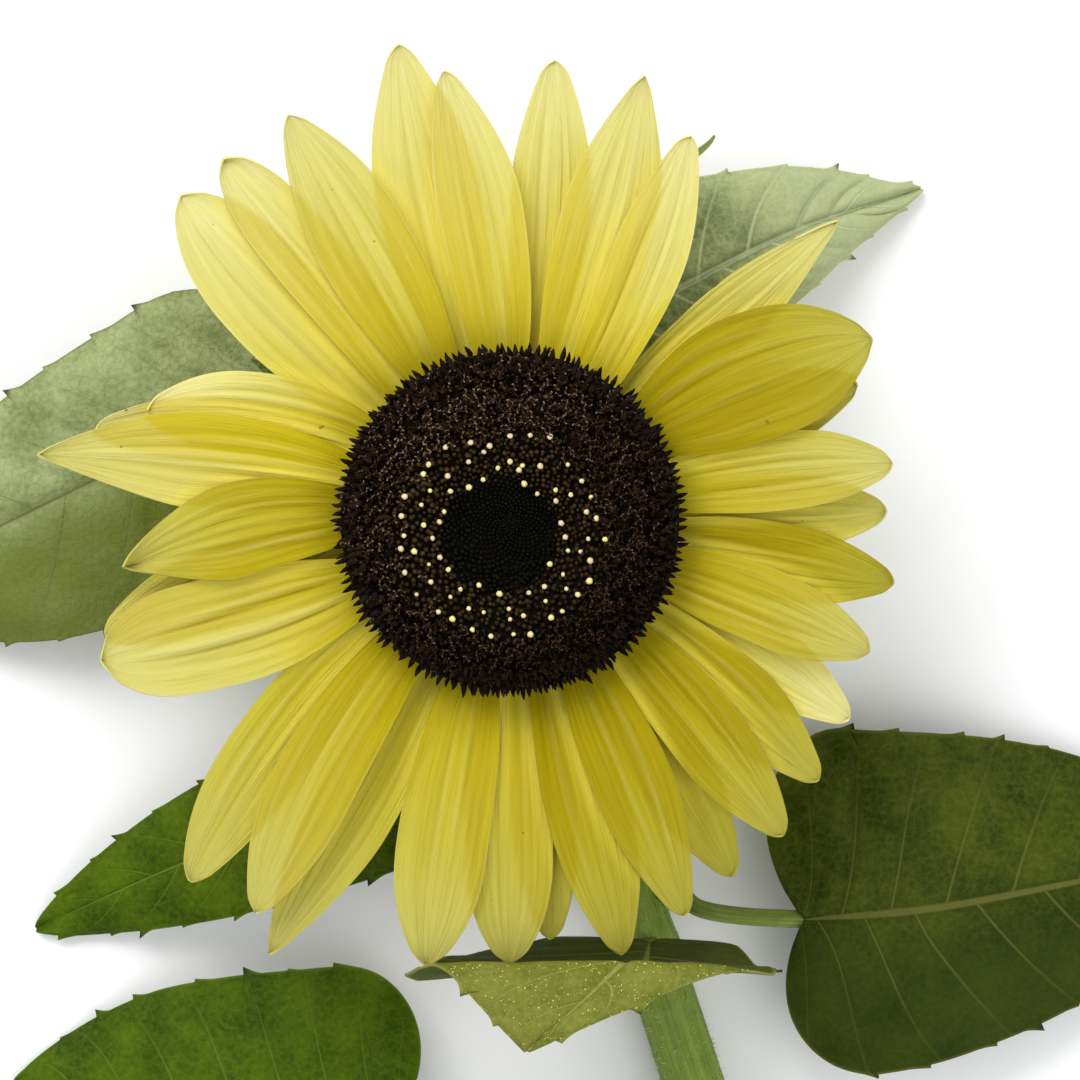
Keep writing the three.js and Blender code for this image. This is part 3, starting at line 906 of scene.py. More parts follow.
@dataclass(frozen=True)
class Scatter:
    """Many copies of one small shape, joined into one piece."""

    name: str
    finish: TintedFinish
    slot: Slot

    NEARLY_UPRIGHT = 0.9

    def build(self, shape: Mesh, points: Array, axes: Array, turns: Array,
              sizes: Array, seeds: Array, painted_lights: Array | None = None) -> None:
        """Builds the piece and lets the small shape go.

        Args:
            shape: The small shape, in millimetres, with its along mark.
            points: Where the copies stand.
            axes: Which way their own +Z points.
            turns: Turn about that axis, in radians.
            sizes: Scale along each of their own axes.
            seeds: A mark for each.
            painted_lights: The painted light of each, 1 if left out.
        """
        corners = np.array([vert.co for vert in shape.vertices])
        faces = [list(face.vertices) for face in shape.polygons]
        turned = self._turned(unit(axes), turns) * sizes[:, None]
        places = (np.einsum("nij,kj->nki", turned, corners) + points[:, None]).reshape(-1, 3)
        count, copies = len(corners), len(points)
        joined = bpy.data.meshes.new(self.name)
        joined.from_pydata(
            ROW.to_row(places).tolist(), [],
            [[corner + copy * count for corner in face] for copy in range(copies) for face in faces])
        along = np.array([mark.value for mark in shape.attributes["along"].data])
        marks = {"along": np.tile(along, copies), "seed": np.repeat(seeds, count),
                 "tone": np.repeat(np.ones(copies) if painted_lights is None else painted_lights, count)}
        for mark, values in marks.items():
            layer = joined.attributes.new(mark, "FLOAT", "POINT")
            layer.data.foreach_set("value", values.astype(np.float32))
        joined.polygons.foreach_set("use_smooth", [True] * len(joined.polygons))
        bpy.data.meshes.remove(shape)
        finished(joined, [self.finish.material()])

    def _turned(self, upright: Array, turns: Array) -> Array:
        """Turns a copy's own axes into place.

        Args:
            upright: Which way each one's +Z points, as unit vectors.
            turns: Turn about it.

        Returns:
            A 3 by 3 matrix for each.
        """
        spare = np.where(np.abs(upright[:, 2:]) < self.NEARLY_UPRIGHT, UP, np.array([1.0, 0.0, 0.0]))
        side = unit(np.cross(spare, upright))
        over = np.cross(upright, side)
        cosine, sine = np.cos(turns)[:, None], np.sin(turns)[:, None]
        return np.stack([cosine * side + sine * over, cosine * over - sine * side, upright], axis=2)


@dataclass(frozen=True)
class Outline:
    """Half the width of a blade that widens from its root and narrows to its tip."""

    root: float
    widest: float
    tip: float
    widest_at: float
    power: float
    rounding: float = 0.001

    def half_width(self, along: Array) -> Array:
        """Looks the half width up along the blade, whose tip is rounded off.

        Args:
            along: Shares of the way along it.

        Returns:
            The half widths.
        """
        rising = np.sin(np.pi / 2 * np.clip(along / self.widest_at, 0, 1))
        beyond = np.clip((along - self.widest_at) / (1 - self.widest_at), 0, 1)
        lower = self.root + (self.widest - self.root) * rising
        upper = self.tip + (self.widest - self.tip) * (1 - beyond ** self.power)
        close = 1 - np.clip((1 - along) / self.rounding, 0, 1)
        return np.where(along < self.widest_at, lower, upper) / 2 * np.sqrt(1 - close ** 2)


@dataclass(frozen=True)
class HeadForm:
    """The bowed, wavy surface that petals and bracts follow outwards from the cushion's wall."""

    wall_radius: float = 26.0
    root_radius: float = 26.3
    front_drop: float = 1.0
    layer_pitch: float = 1.25
    layer_spread: float = 0.016
    span: float = 60.0
    rise: float = 14.0
    fall: float = 12.0
    lean: float = 0.42
    waves: tuple[tuple[int, float, float], ...] = ((2, 2.0, 0.37), (3, 2.4, 0.6))

    def height(self, x: Array, y: Array, layer: float, droop: float = 0.0) -> Array:
        """Gives the surface's height.

        Args:
            x: Places in the bloom's frame.
            y: The same.
            layer: Which layer, 0 in front.
            droop: Fall for each millimetre outwards.

        Returns:
            The heights.
        """
        beyond = np.hypot(x, y) - self.wall_radius
        out = beyond / self.span
        angle = np.arctan2(y, x)
        wave = sum(height * np.sin(lobes * angle + phase) for lobes, height, phase in self.waves)
        bow = self.rise * out - self.fall * out * out + wave * out * out
        pitch = self.layer_pitch + self.layer_spread * beyond
        return ROW.cushion_top - self.front_drop + bow - layer * pitch - droop * beyond

    def spine(self, root: float, tip: float, reach: float, along: Array) -> tuple[Array, Array]:
        """Runs a blade's middle line from its root square out of the wall to its tip.

        Args:
            root: Direction of the root, in degrees.
            tip: Direction of the tip.
            reach: Distance of the tip from the axis.
            along: Shares along it.

        Returns:
            Points, and unit vectors to the right of them, both flat.
        """
        start = compass(root) * self.root_radius
        end = compass(tip) * reach
        turn = start + compass(root) * float(np.linalg.norm(end - start)) * self.lean
        share = along[:, None]
        points = (1 - share) ** 2 * start + 2 * share * (1 - share) * turn + share ** 2 * end
        tangent = unit((1 - share) * (turn - start) + share * (end - turn))
        return points, np.stack([tangent[:, 1], -tangent[:, 0]], axis=1)


HEAD = HeadForm()


class Tip(Enum):
    """How a petal ends."""

    PLAIN = "plain"
    CUPPED = "cupped"
    FOLDED = "folded"
    CURLED = "curled"

    def lift(self, side: Array, along: Array) -> Array:
        """Gives how far such a tip is lifted, in millimetres.

        Args:
            side: Place across the petal.
            along: Place along it.

        Returns:
            The lifts.
        """
        near_tip = smooth(0.72, 1.0, along)
        return {Tip.PLAIN: near_tip * 0.35 * side ** 2,
                Tip.CUPPED: near_tip * (1.2 * side ** 2 + 0.6),
                Tip.FOLDED: near_tip * 2.6 * np.abs(side + 0.2),
                Tip.CURLED: near_tip ** 2 * 3.2}[self]


@dataclass(frozen=True)
class Petal:
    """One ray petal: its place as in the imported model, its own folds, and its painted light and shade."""

    name: str
    root: float
    tip: float
    reach: float
    width: float
    blunt: float
    layer: float
    # tone: 0 paints the petal shaded and 1 paints it lit; fade paints its tip darker, and lighter where it is
    # below 0.
    tone: float
    folds: float = 0.4
    lift: float = 0.0
    ending: Tip = Tip.PLAIN
    point: float = 2.8
    pinch: float = 0.0
    fade: float = 0.0

    ROOT_WIDTH = 8.4
    WIDEST_AT = 0.58
    ROUNDING = 0.04
    SPINE_SAMPLES = 70

    @property
    def outline(self) -> Outline:
        """The blade's outline."""
        return Outline(self.ROOT_WIDTH, self.width, self.point, self.WIDEST_AT, self.blunt, self.ROUNDING)

    def depth_inside(self, points: Array) -> Array:
        """Tells how far points lie inside this petal's outline.

        Args:
            points: Flat points.

        Returns:
            Distances from the outline, below 0 outside it.
        """
        along = np.linspace(0.02, 1, self.SPINE_SAMPLES)
        spine, _ = HEAD.spine(self.root, self.tip, self.reach, along)
        gaps = np.linalg.norm(points[:, None] - spine[None], axis=2)
        return (self.outline.half_width(along)[None] - gaps).max(axis=1)


PETALS = (
    Petal("petal_top_a", 105, 103.2, 86.1, 18.5, 1.9, 3, 0.86, folds=0.3, lift=1.0),
    Petal("petal_top_b", 93, 98.3, 79.8, 15.0, 1.9, 2, 0.9, folds=0.25, lift=0.5, point=2.4),
    Petal("petal_top_c", 81, 84.5, 81.4, 14.2, 2.2, 4, 0.92, folds=0.5, lift=1.2, point=3.2),
    Petal("petal_top_d", 71, 73.2, 81.6, 17.0, 1.7, 2, 0.86, folds=0.35, lift=0.5, point=1.3),
    Petal("petal_top_e", 60, 64.9, 74.2, 13.0, 1.9, 1, 1, folds=0.7, lift=0.8),
    Petal("petal_right_a", 47, 42.5, 77.9, 15.5, 1.5, 3, 0.76, folds=0.5, point=1.2, pinch=0.5),
    Petal("petal_right_b", 33.5, 26.7, 70.5, 23.0, 2.6, 0, 0.12, folds=1, lift=0.6, fade=-0.15),
    Petal("petal_right_c", 24, 21.5, 65.3, 13.5, 2.2, 3, 0.4, folds=0.8),
    Petal("petal_right_d", 12, 8.5, 67.5, 13.6, 2.6, 1, 0.6, folds=0.8),
    Petal("petal_right_e", 2, 1.5, 66.0, 13.4, 2.2, 3, 0.45, folds=0.8),
    Petal("petal_right_f", 352, 350.8, 68.0, 13.8, 2.0, 2, 0.06, folds=0.95),
    Petal("petal_right_g", 342.5, 340, 66.9, 13.6, 2.2, 1, 0.5, folds=0.95),
    Petal("petal_right_h", 333, 329.7, 69.0, 13.6, 2.0, 3, 1, folds=0.95),
    Petal("petal_low_a", 323.5, 320, 70.7, 13.8, 2.0, 2, 0.24, folds=1),
    Petal("petal_low_b", 314, 311, 73.0, 13.8, 2.1, 1, 0.2, folds=1),
    Petal("petal_low_c", 304.5, 302, 73.7, 13.8, 2.0, 3, 0.14, folds=0.9),
    Petal("petal_low_d", 296, 293.9, 75.4, 14.2, 1.8, 0, 0.16, folds=0.7),
    Petal("petal_low_e", 285.5, 284.6, 78.4, 14.6, 2.2, 1, 0.16, folds=0.35),
    Petal("petal_low_f", 277.5, 275.6, 73.7, 11.5, 2.4, 3, 0.36, folds=0.3, fade=0.16),
    Petal("petal_low_g", 269.5, 270, 77.6, 15.2, 3.6, 2, 0.5, folds=0.25, fade=0.16),
    Petal("petal_low_h", 257, 259.4, 79.0, 16.0, 3.2, 1, 0.46, folds=0.3),
    Petal("petal_left_a", 242, 240.9, 87.0, 14.6, 1.8, 3, 0.48, folds=0.45, point=1.2),
    Petal("petal_left_b", 229.5, 237.0, 81.6, 15.0, 2.4, 1, 0.48, folds=0.4),
    Petal("petal_left_c", 219, 228.4, 84.4, 14.6, 2.6, 2, 0.5, folds=0.45, fade=0.1),
    Petal("petal_left_d", 203, 198.8, 75.6, 19.5, 4.2, 1, 0.78, folds=1.1, ending=Tip.CUPPED, fade=0.12),
    Petal("petal_left_e", 190, 195.7, 73.7, 14.0, 2.6, 3, 0.55, folds=0.8, ending=Tip.CURLED),
    Petal("petal_left_f", 178, 186.8, 67.9, 16.6, 1.7, 0, 0.4, folds=1, ending=Tip.FOLDED, point=0.8),
    Petal("petal_left_g", 166, 172, 83.5, 17.0, 1.5, 1, 0.9, folds=0.85, lift=0.5, point=0.7, fade=0.36),
    Petal("petal_left_h", 157.5, 167.6, 74.4, 12.0, 2.4, 4, 1, folds=0.3, ending=Tip.CURLED),
    Petal("petal_left_i", 152, 163, 66.3, 14.5, 2.8, 2, 1, folds=0.7),
    Petal("petal_left_j", 139, 135.3, 81.2, 18.0, 3.4, 3, 0.88, folds=0.35, lift=0.8),
    Petal("petal_left_k", 126.5, 128.4, 80.9, 12.6, 4.2, 2, 0.9, folds=0.4, ending=Tip.CUPPED),
    Petal("petal_left_l", 117, 118.7, 80.9, 17.0, 2.1, 1, 0.76, folds=0.4, lift=0.6, point=2),
)


@dataclass(frozen=True)
class PetalBlade:
    """The shape of one ray petal, whose seed sets its own small differences."""

    petal: Petal
    seed: float

    FIRST_SEED = 11
    FURROWS = (
        (-0.64, 0.5), (-0.34, 1.0), (0.0, 0.5), (0.34, 1.0), (0.64, 0.5))
    FURROW_STRAY = 0.06
    FURROW_SWAY = 0.03
    GATHERING = 0.3
    GROOVE_WIDTH = 0.07
    GROOVE_DEPTH = 0.8
    RIDGE_WIDTH = 0.06
    RIDGE_HEIGHT = 0.4
    RIDGE_OFFSET = 0.12
    MARGIN_WAVE = 0.02
    MARGIN_FLUTTER = 0.3
    TIP_LIFT = 2.2
    NEIGHBOUR_TURN = 45.0
    MOST_OVERLAP = 1.7

    def place(self, side: Array, share: Array) -> tuple[Array, Marks]:
        """Places the petal's corners.

        Args:
            side: Place across, -1 to 1.
            share: Share of the rows.

        Returns:
            The points and their marks.
        """
        petal = self.petal
        chance = np.random.default_rng(int(self.seed * 1000) + self.FIRST_SEED)
        phases = chance.uniform(0, FULL_TURN, 6)
        stray = self.FURROW_STRAY
        furrows = [(centre + chance.uniform(-stray, stray), weight * chance.uniform(0.6, 1.2),
                    chance.choice([-1, 1])) for centre, weight in self.FURROWS]
        cup = chance.uniform(-0.35, 0.55)
        along = np.sin(np.pi / 2 * share)
        spine, right = HEAD.spine(petal.root, petal.tip, petal.reach, along)
        sway = np.sin(9 * along + phases[0] + 2 * (side > 0))
        wave = 1 + self.MARGIN_WAVE * sway * smooth(0.1, 0.4, along)
        half = petal.outline.half_width(along) * wave * (1 + petal.pinch * np.minimum(side, 0))
        flat = spine + right * (side * half)[:, None]
        open_part = smooth(0.05, 0.3, along) * (1 - smooth(0.6, 1.0, along))
        relief = cup * (side ** 2 - 0.4) * open_part
        crease_shading = np.zeros_like(side)
        for centre, weight, way in furrows:
            bend = centre * (1 - self.GATHERING * along)
            bend += self.FURROW_SWAY * np.sin(5 * along + phases[1] + 9 * centre)
            groove = np.exp(-((side - bend) / self.GROOVE_WIDTH) ** 2) * weight * open_part
            beside = side - bend - self.RIDGE_OFFSET * way
            ridge = np.exp(-(beside / self.RIDGE_WIDTH) ** 2) * weight * open_part
            relief += petal.folds * (self.RIDGE_HEIGHT * ridge - self.GROOVE_DEPTH * groove)
            # The fold mark: painted shade in the grooves, and painted highlight on the ridges where it is
            # below 0.
            crease_shading += (groove - 0.9 * ridge) * min(1.0, petal.folds * 1.7)
        flutter = np.abs(side) ** 3 * np.sin(11 * along + phases[2] + side) * smooth(0.3, 0.7, along)
        lift = petal.lift * smooth(0.55, 1.0, along) ** 2 * self.TIP_LIFT
        relief += self.MARGIN_FLUTTER * flutter + lift
        relief += petal.ending.lift(side, along)
        height = HEAD.height(flat[:, 0], flat[:, 1], petal.layer) + relief
        overlap, under = self._covered(flat)
        # The painted light changes towards the tip by fade.
        marks = {"along": along, "across": side, "seed": np.full_like(side, self.seed), "fold": crease_shading,
                 "tone": petal.tone - petal.fade * along ** 3, "under": under * (1 - 0.7 * along),
                 "overlap": np.minimum(overlap, self.MOST_OVERLAP)}
        return np.column_stack([flat, height]), marks

    def _covered(self, flat: Array) -> tuple[Array, Array]:
        """Tells where the petal and its neighbours lie over each other, for painted shade and painted fill
        light.

        Args:
            flat: Its corners, seen from above.

        Returns:
            How many petals lie behind each corner, which paints it deeper, and how near it lies to those in
            front, which paints it lighter.
        """
        overlap, under = np.zeros(len(flat)), np.zeros(len(flat))
        for other in PETALS:
            turn = abs((other.root - self.petal.root + 180) % 360 - 180)
            if other is self.petal or turn > self.NEIGHBOUR_TURN:
                continue
            inside = other.depth_inside(flat)
            if other.layer > self.petal.layer:
                # Petals behind paint this one deeper: painted shade of two layers.
                overlap += smooth(-0.25, 0.45, inside)
            else:
                # Near the edges of petals in front: painted fill light against their shade.
                under = np.maximum(under, smooth(-3.2, 0.2, inside))
        return overlap, under


@dataclass
class RayPetals:
    """All the ray petals, joined into one piece for each side of the bloom."""

    columns: int = 24
    rows: int = 56
    thickness: float = 0.34
    finish: PetalFinish = PetalFinish()

    def build(self) -> None:
        """Builds a piece for each side."""
        material = self.finish.material()
        for side in ("top", "right", "low", "left"):
            draft = Draft()
            members = [petal for petal in PETALS if petal.name.startswith(f"petal_{side}_")]
            for petal in members:
                blade = PetalBlade(petal, PETALS.index(petal) / len(PETALS))
                draft.add_blade(self.columns, self.rows, blade.place)
            finished(draft.mesh(f"petals_{side}"), [material],
                     [petal.name for petal in members], self.thickness)


@dataclass(frozen=True)
class Bract:
    """One bract: the direction that it grows in, its reach from the axis, its width and its layer."""

    root: float
    reach: float
    width: float
    layer: float

    ROOT_WIDTH = 8.0
    TIP_WIDTH = 0.5
    WIDEST_AT = 0.22
    POWER = 0.85
    DROOP = 0.12
    SWAY = 1.2
    HOOKED = 62.7
    HOOK = 3.2
    KEEL_WIDTH = 0.12
    KEEL_DEPTH = 0.35
    CUP = 0.4

    def place(self, side: Array, share: Array) -> tuple[Array, Marks]:
        """Places the bract's corners.

        Args:
            side: Place across, -1 to 1.
            share: Share of the rows.

        Returns:
            The points and their marks.
        """
        along = np.sin(np.pi / 2 * share)
        spine, right = HEAD.spine(self.root, self.root, self.reach, along)
        sway = self.SWAY * np.sin(3 * along + self.root) * smooth(0.5, 1.0, along) ** 2
        if self.root == self.HOOKED:
            sway = self.HOOK * (smooth(0.84, 1.0, along) - 0.75 * smooth(0.3, 0.8, along))
        outline = Outline(self.ROOT_WIDTH, self.width, self.TIP_WIDTH, self.WIDEST_AT, self.POWER)
        flat = spine + right * (side * outline.half_width(along) + sway)[:, None]
        keel = np.exp(-(side / self.KEEL_WIDTH) ** 2)
        relief = -self.KEEL_DEPTH * keel * (1 - along) + self.CUP * side ** 2 * (1 - along)
        height = HEAD.height(flat[:, 0], flat[:, 1], self.layer, self.DROOP) + relief
        marks = {"along": along, "across": side, "seed": np.full_like(side, self.root / 360)}
        return np.column_stack([flat, height]), marks


@dataclass
class Bracts:
    """The green bracts in two whorls behind the petals, each with its direction, reach and width."""

    inner: Triples = (
        (20, 60, 13), (62.7, 77.5, 12), (91, 64, 12), (126.3, 62, 13), (166, 58, 14), (208, 60, 13),
        (249, 57, 14), (290, 61, 13), (334, 58, 14))
    outer: Triples = (
        (42, 55, 12), (108, 52, 13), (147, 54, 12), (188, 50, 13), (229, 53, 13), (271, 50, 12),
        (313, 54, 13))
    inner_layer: float = 5.2
    outer_layer: float = 6.4
    thickness: float = 0.5
    columns: int = 12
    rows: int = 28
    finish: LeafFinish = LeafFinish(
        "bract_skin", colour(88, 108, 48), colour(130, 148, 80), colour(176, 190, 126),
        colour(88, 108, 48), veins=0.5)

    def build(self) -> None:
        """Builds the bracts as one piece."""
        draft = Draft()
        nodes = []
        for name, whorl, layer in (("bract_inner", self.inner, self.inner_layer),
                                   ("bract_outer", self.outer, self.outer_layer)):
            for i, sizes in enumerate(whorl, 1):
                draft.add_blade(self.columns, self.rows, Bract(*sizes, layer).place)
                nodes.append(f"{name}_{i}")
        finished(draft.mesh("bracts"), [self.finish.material()], nodes, self.thickness)


def marked_shape(bm: bmesh.types.BMesh, height: float) -> Mesh:
    """Turns a small shape into a mesh whose along mark is its height where it has none yet.

    Args:
        bm: The shape, in millimetres, standing on z = 0.
        height: Height at which the mark is 1.

    Returns:
        The mesh.
    """
    layers = bm.verts.layers.float
    along = layers.get("along") or layers.new("along")
    for vert in bm.verts:
        vert[along] = vert[along] or min(max(vert.co.z / height, 0.0), 1.0)
    mesh = bpy.data.meshes.new("small_shape")
    bm.to_mesh(mesh)
    bm.free()
    return mesh


def add_cone(bm: bmesh.types.BMesh, sides: int, foot: float, top: float, height: float,
             placed: Matrix | None = None, capped: bool = True) -> None:
    """Adds a cone or a tube, standing on z = 0 unless it is placed.

    Args:
        bm: The small shape that it is added to.
        sides: Its sides.
        foot: Radius at its foot.
        top: Radius at its top.
        height: Its height.
        placed: Where its middle goes.
        capped: Whether its ends are closed.
    """
    matrix = Matrix.Translation((0, 0, height / 2)) if placed is None else placed
    bmesh.ops.create_cone(bm, cap_ends=capped, segments=sides, radius1=foot, radius2=top, depth=height,
                          matrix=matrix)


def upright_edges(bm: bmesh.types.BMesh, least: float) -> list[Edge]:
    """Finds the edges whose ends differ in height by more than a least rise."""
    return [edge for edge in bm.edges if abs(edge.verts[0].co.z - edge.verts[1].co.z) > least]


def horned_floret() -> Mesh:
    """Makes an open floret: a tube that splits into pointed lobes, and two arms that curl apart.

    Returns:
        The small shape.
    """
    bm = bmesh.new()
    along = bm.verts.layers.float.new("along")
    add_cone(bm, 5, 0.36, 0.5, 1.1)
    for i in range(5):
        turned = Matrix.Rotation(i / 5 * FULL_TURN, 4, "Z") @ Matrix.Translation((0.36, 0, 1.0))
        leaning = Matrix.Rotation(math.radians(34), 4, "Y") @ Matrix.Diagonal((0.5, 1.0, 1.0, 1))
        add_cone(bm, 4, 0.3, 0.02, 0.9, turned @ leaning @ Matrix.Translation((0, 0, 0.4)))
    for vert in bm.verts:
        vert[along] = 0.01 + 0.25 * max(vert.co.z, 0.0)
    for way in (-1, 1):
        add_cone(bm, 3, 0.18, 0.13, 1.0, capped=False)
        edges = [edge for edge in upright_edges(bm, 0.5) if not edge.verts[0][along]]
        bmesh.ops.subdivide_edges(bm, edges=edges, cuts=3)
        for vert in bm.verts:
            if not vert[along]:
                rise = vert.co.z
                vert[along] = 0.5 + 0.5 * rise
                vert.co.x += way * (0.08 + 0.46 * math.sin(1.9 * rise))
                vert.co.y += way * 0.26 * rise * rise
                vert.co.z = 1.3 + 0.85 * rise - 0.6 * rise * rise
    return marked_shape(bm, 2.8)


def rounded_floret() -> Mesh:
    """Makes an opening floret: a short tube with a pinched, pointed lid.

    Returns:
        The small shape.
    """
    bm = bmesh.new()
    add_cone(bm, 6, 0.36, 0.5, 1.0)
    lid = max(bm.faces, key=lambda face: face.calc_center_median().z)
    bmesh.ops.inset_region(bm, faces=[lid], thickness=0.2, depth=0.28)
    bmesh.ops.poke(bm, faces=[lid], offset=0.16)
    return marked_shape(bm, 1.45)


def tight_bud() -> Mesh:
    """Makes a tight bud: a small dome.

    Returns:
        The small shape.
    """
    bm = bmesh.new()
    bmesh.ops.create_uvsphere(bm, u_segments=7, v_segments=5, radius=0.56,
                              matrix=Matrix.Translation((0, 0, 0.75)) @ Matrix.Diagonal((1, 1, 1.15, 1)))
    return marked_shape(bm, 1.35)


def pointed_scale() -> Mesh:
    """Makes a scale of the rim: a small pointed leaf that curves up a little.

    Returns:
        The small shape.
    """
    length = 2.3
    bm = bmesh.new()
    add_cone(bm, 6, 0.5, 0.5, length)
    bmesh.ops.subdivide_edges(bm, edges=upright_edges(bm, 1), cuts=4)
    for vert in bm.verts:
        share = min(vert.co.z / length, 1.0)
        width = float(np.interp(share, (0, 0.25, 0.5, 0.8, 1), (0.7, 1.06, 1.0, 0.55, 0.05)))
        vert.co.x *= width
        vert.co.y = vert.co.y * 0.4 * width + 0.25 * math.sin(math.pi * share)
    return marked_shape(bm, length)


def ball(fineness: int, lumps: float = 0.0) -> Mesh:
    """Makes a ball of radius 1, of pollen.

    Args:
        fineness: How often its faces are divided.
        lumps: How far its lumps stand out.

    Returns:
        The small shape.
    """
    bm = bmesh.new()
    bmesh.ops.create_icosphere(bm, subdivisions=fineness, radius=1.0)
    for vert in bm.verts:
        vert.co *= 1 + lumps * math.sin(7 * vert.co.x + 3 * vert.co.y) * math.cos(5 * vert.co.z)
    return marked_shape(bm, 1.0)


def single_hair() -> Mesh:
    """Makes a hair: a thin three-sided point of length 1.

    Returns:
        The small shape.
    """
    bm = bmesh.new()
    add_cone(bm, 3, 0.06, 0.008, 1.0)
    return marked_shape(bm, 1.0)


@dataclass
class Disc:
    """The disc of florets: open ones outside, a ring in flower, and tight buds in the middle."""

    radius: float = 30.2
    count: int = 2560
    spread: float = 0.7
    bud_centre: tuple[float, float] = (-1.75, -2.45)
    bud_radius: float = 10.2
    ring_radius: float = 18.4
    rim_radius: float = 28.4
    bed_drop: float = 1.3
    bed_foot_radius: float = 25.4
    bed_steps: int = 96
    outward_lean: float = 0.9
    # Direction in degrees of the disc's lit side, where florets and scales are painted paler.
    lit_from: float = 125.0
    seed: int = 7
    profile: Pairs = (
        (0.0, 4.0), (4.6, 4.0), (9.8, 4.7), (14.0, 6.3), (18.9, 7.8), (24.4, 7.8), (28.4, 6.7),
        (30.5, 3.9))
    scale_rows: tuple[tuple[float, float, float, int], ...] = (
        (26.3, 0.3, 0.8, 112), (27.3, 0.7, 1.2, 118), (28.2, 1.3, 2.2, 124), (29.0, 2.0, 4.0, 130))
    scale_turn: float = 0.12
    pollen_rings: tuple[tuple[float, int], ...] = ((10.7, 23), (14.0, 25), (17.2, 30))
    pollen_size: float = 0.51
    pollen_rise: float = 0.25
    bed_finish: TintedFinish = TintedFinish(
        "floret_bed", colour(12, 8, 4), colour(26, 18, 10), colour(20, 15, 8), relief=0.3, specular=0.03)
    # The florets' paler tips are painted highlights on their tops; on the open florets' arms they are partly
    # the arms' own paler colour.
    floret_finish: TintedFinish = TintedFinish(
        "open_floret", colour(8, 5, 3), colour(56, 38, 21), colour(186, 160, 126), tip_share=1.3,
        tip_power=4.5, roughness=0.5, specular=0.05)
    ring_finish: TintedFinish = TintedFinish(
        "opening_floret", colour(10, 7, 3), colour(60, 44, 20), colour(92, 74, 42), tip_share=0.6,
        tip_power=3.0, roughness=0.5, specular=0.08)
    bud_finish: TintedFinish = TintedFinish(
        "tight_bud", colour(4, 5, 1), colour(10, 11, 5), colour(30, 31, 20), tip_share=0.6,
        tip_power=3.0, roughness=0.5, specular=0.05)
    scale_finish: TintedFinish = TintedFinish(
        "dark_scale", colour(13, 7, 5), colour(56, 40, 30), colour(10, 6, 4), tip_share=0.75,
        specular=0.05)
    # The pollen's paler tip colour is a painted highlight on the balls' tops.
    pollen_finish: TintedFinish = TintedFinish(
        "pollen", colour(206, 174, 136), colour(222, 212, 124), colour(232, 224, 176), tip_share=0.4,
        roughness=0.8, specular=0.1)

    def height(self, radius: Array) -> Array:
        """Gives the disc's surface height at a distance from its axis."""
        radii, heights = zip(*self.profile)
        return ROW.disc_foot + np.interp(radius, radii, heights)

    def normal(self, points: Array) -> Array:
        """Gives the way that florets point: up, and leaning out more and more towards the rim.

        Args:
            points: Flat points.

        Returns:
            Unit vectors.
        """
        radius = np.hypot(*points.T)
        outward = points / np.maximum(radius, 1e-6)[:, None]
        slope = self.height(radius + 0.5) - self.height(radius - 0.5)
        lean = -0.6 * slope + self.outward_lean * smooth(22, 30, radius)
        return unit(np.column_stack([outward * lean[:, None], np.ones(len(points))]))

    def light(self, points: Array) -> Array:
        """Gives the florets' painted light: about 1 on the disc's lit side, towards lit_from, to 0.1 on its
        shaded side.
        """
        return 0.55 + 0.45 * points @ compass(self.lit_from) / self.radius

    def build(self) -> None:
        """Builds the bed, the florets, the rim's scales and the pollen."""
        chance = np.random.default_rng(self.seed)
        self._bed()
        numbers = np.arange(self.count)
        radius = self.radius * ((numbers + 0.5) / self.count) ** self.spread
        angle = numbers * GOLDEN_TURN
        points = np.stack([radius * np.cos(angle), radius * np.sin(angle)], axis=1)
        points += chance.normal(0, 0.2, points.shape) * smooth(3, 14, radius)[:, None]
        inward = np.hypot(*(points - np.array(self.bud_centre)).T)
        edge = self.bud_radius + chance.normal(0, 0.4, self.count)
        ring_edge = self.ring_radius + chance.normal(0, 1.2, self.count)
        buds = inward < edge
        ring = ~buds & (inward < ring_edge)
        opened = ~buds & ~ring & (radius < self.rim_radius)
        for name, shape, chosen, finish, size in (
                ("florets_open", horned_floret(), opened, self.floret_finish, 1.0),
                ("florets_ring", rounded_floret(), ring, self.ring_finish, 0.95),
                ("florets_bud", tight_bud(), buds, self.bud_finish, 0.9)):
            self._grow(Scatter(name, finish, Slot.DISC), shape, points[chosen], chance, size)
        self._scales(chance)
        self._pollen(chance)

    def _bed(self) -> None:
        """Builds the dark bed that the florets stand in."""
        draft = Draft()
        foot = [(0.0, ROW.disc_foot), (self.bed_foot_radius, ROW.disc_foot)]
        top = [(radius * 0.97, ROW.disc_foot + max(height - self.bed_drop, 0.9))
               for radius, height in reversed(self.profile)]
        draft.add_lathe([*foot, *top], self.bed_steps)
        finished(draft.mesh("floret_bed"), [self.bed_finish.material()], ["disc"])

    def _grow(self, scatter: Scatter, shape: Mesh, points: Array, chance: Chance, size: float) -> None:
        """Stands one kind of floret on its points.

        Args:
            scatter: The piece that they make.
            shape: One floret.
            points: Where they stand.
            chance: The random source.
            size: Their scale in the middle of the disc's width.
        """
        count = len(points)
        radius = np.hypot(*points.T)
        axes = self.normal(points) + chance.normal(0, 0.1, (count, 3))
        base = np.column_stack([points, self.height(radius) - self.bed_drop])
        growth = size * (0.62 + 0.38 * smooth(3, 16, radius)) * chance.uniform(0.8, 1.16, count)
        sizes = np.column_stack([growth, growth, growth * chance.uniform(0.85, 1.2, count)])
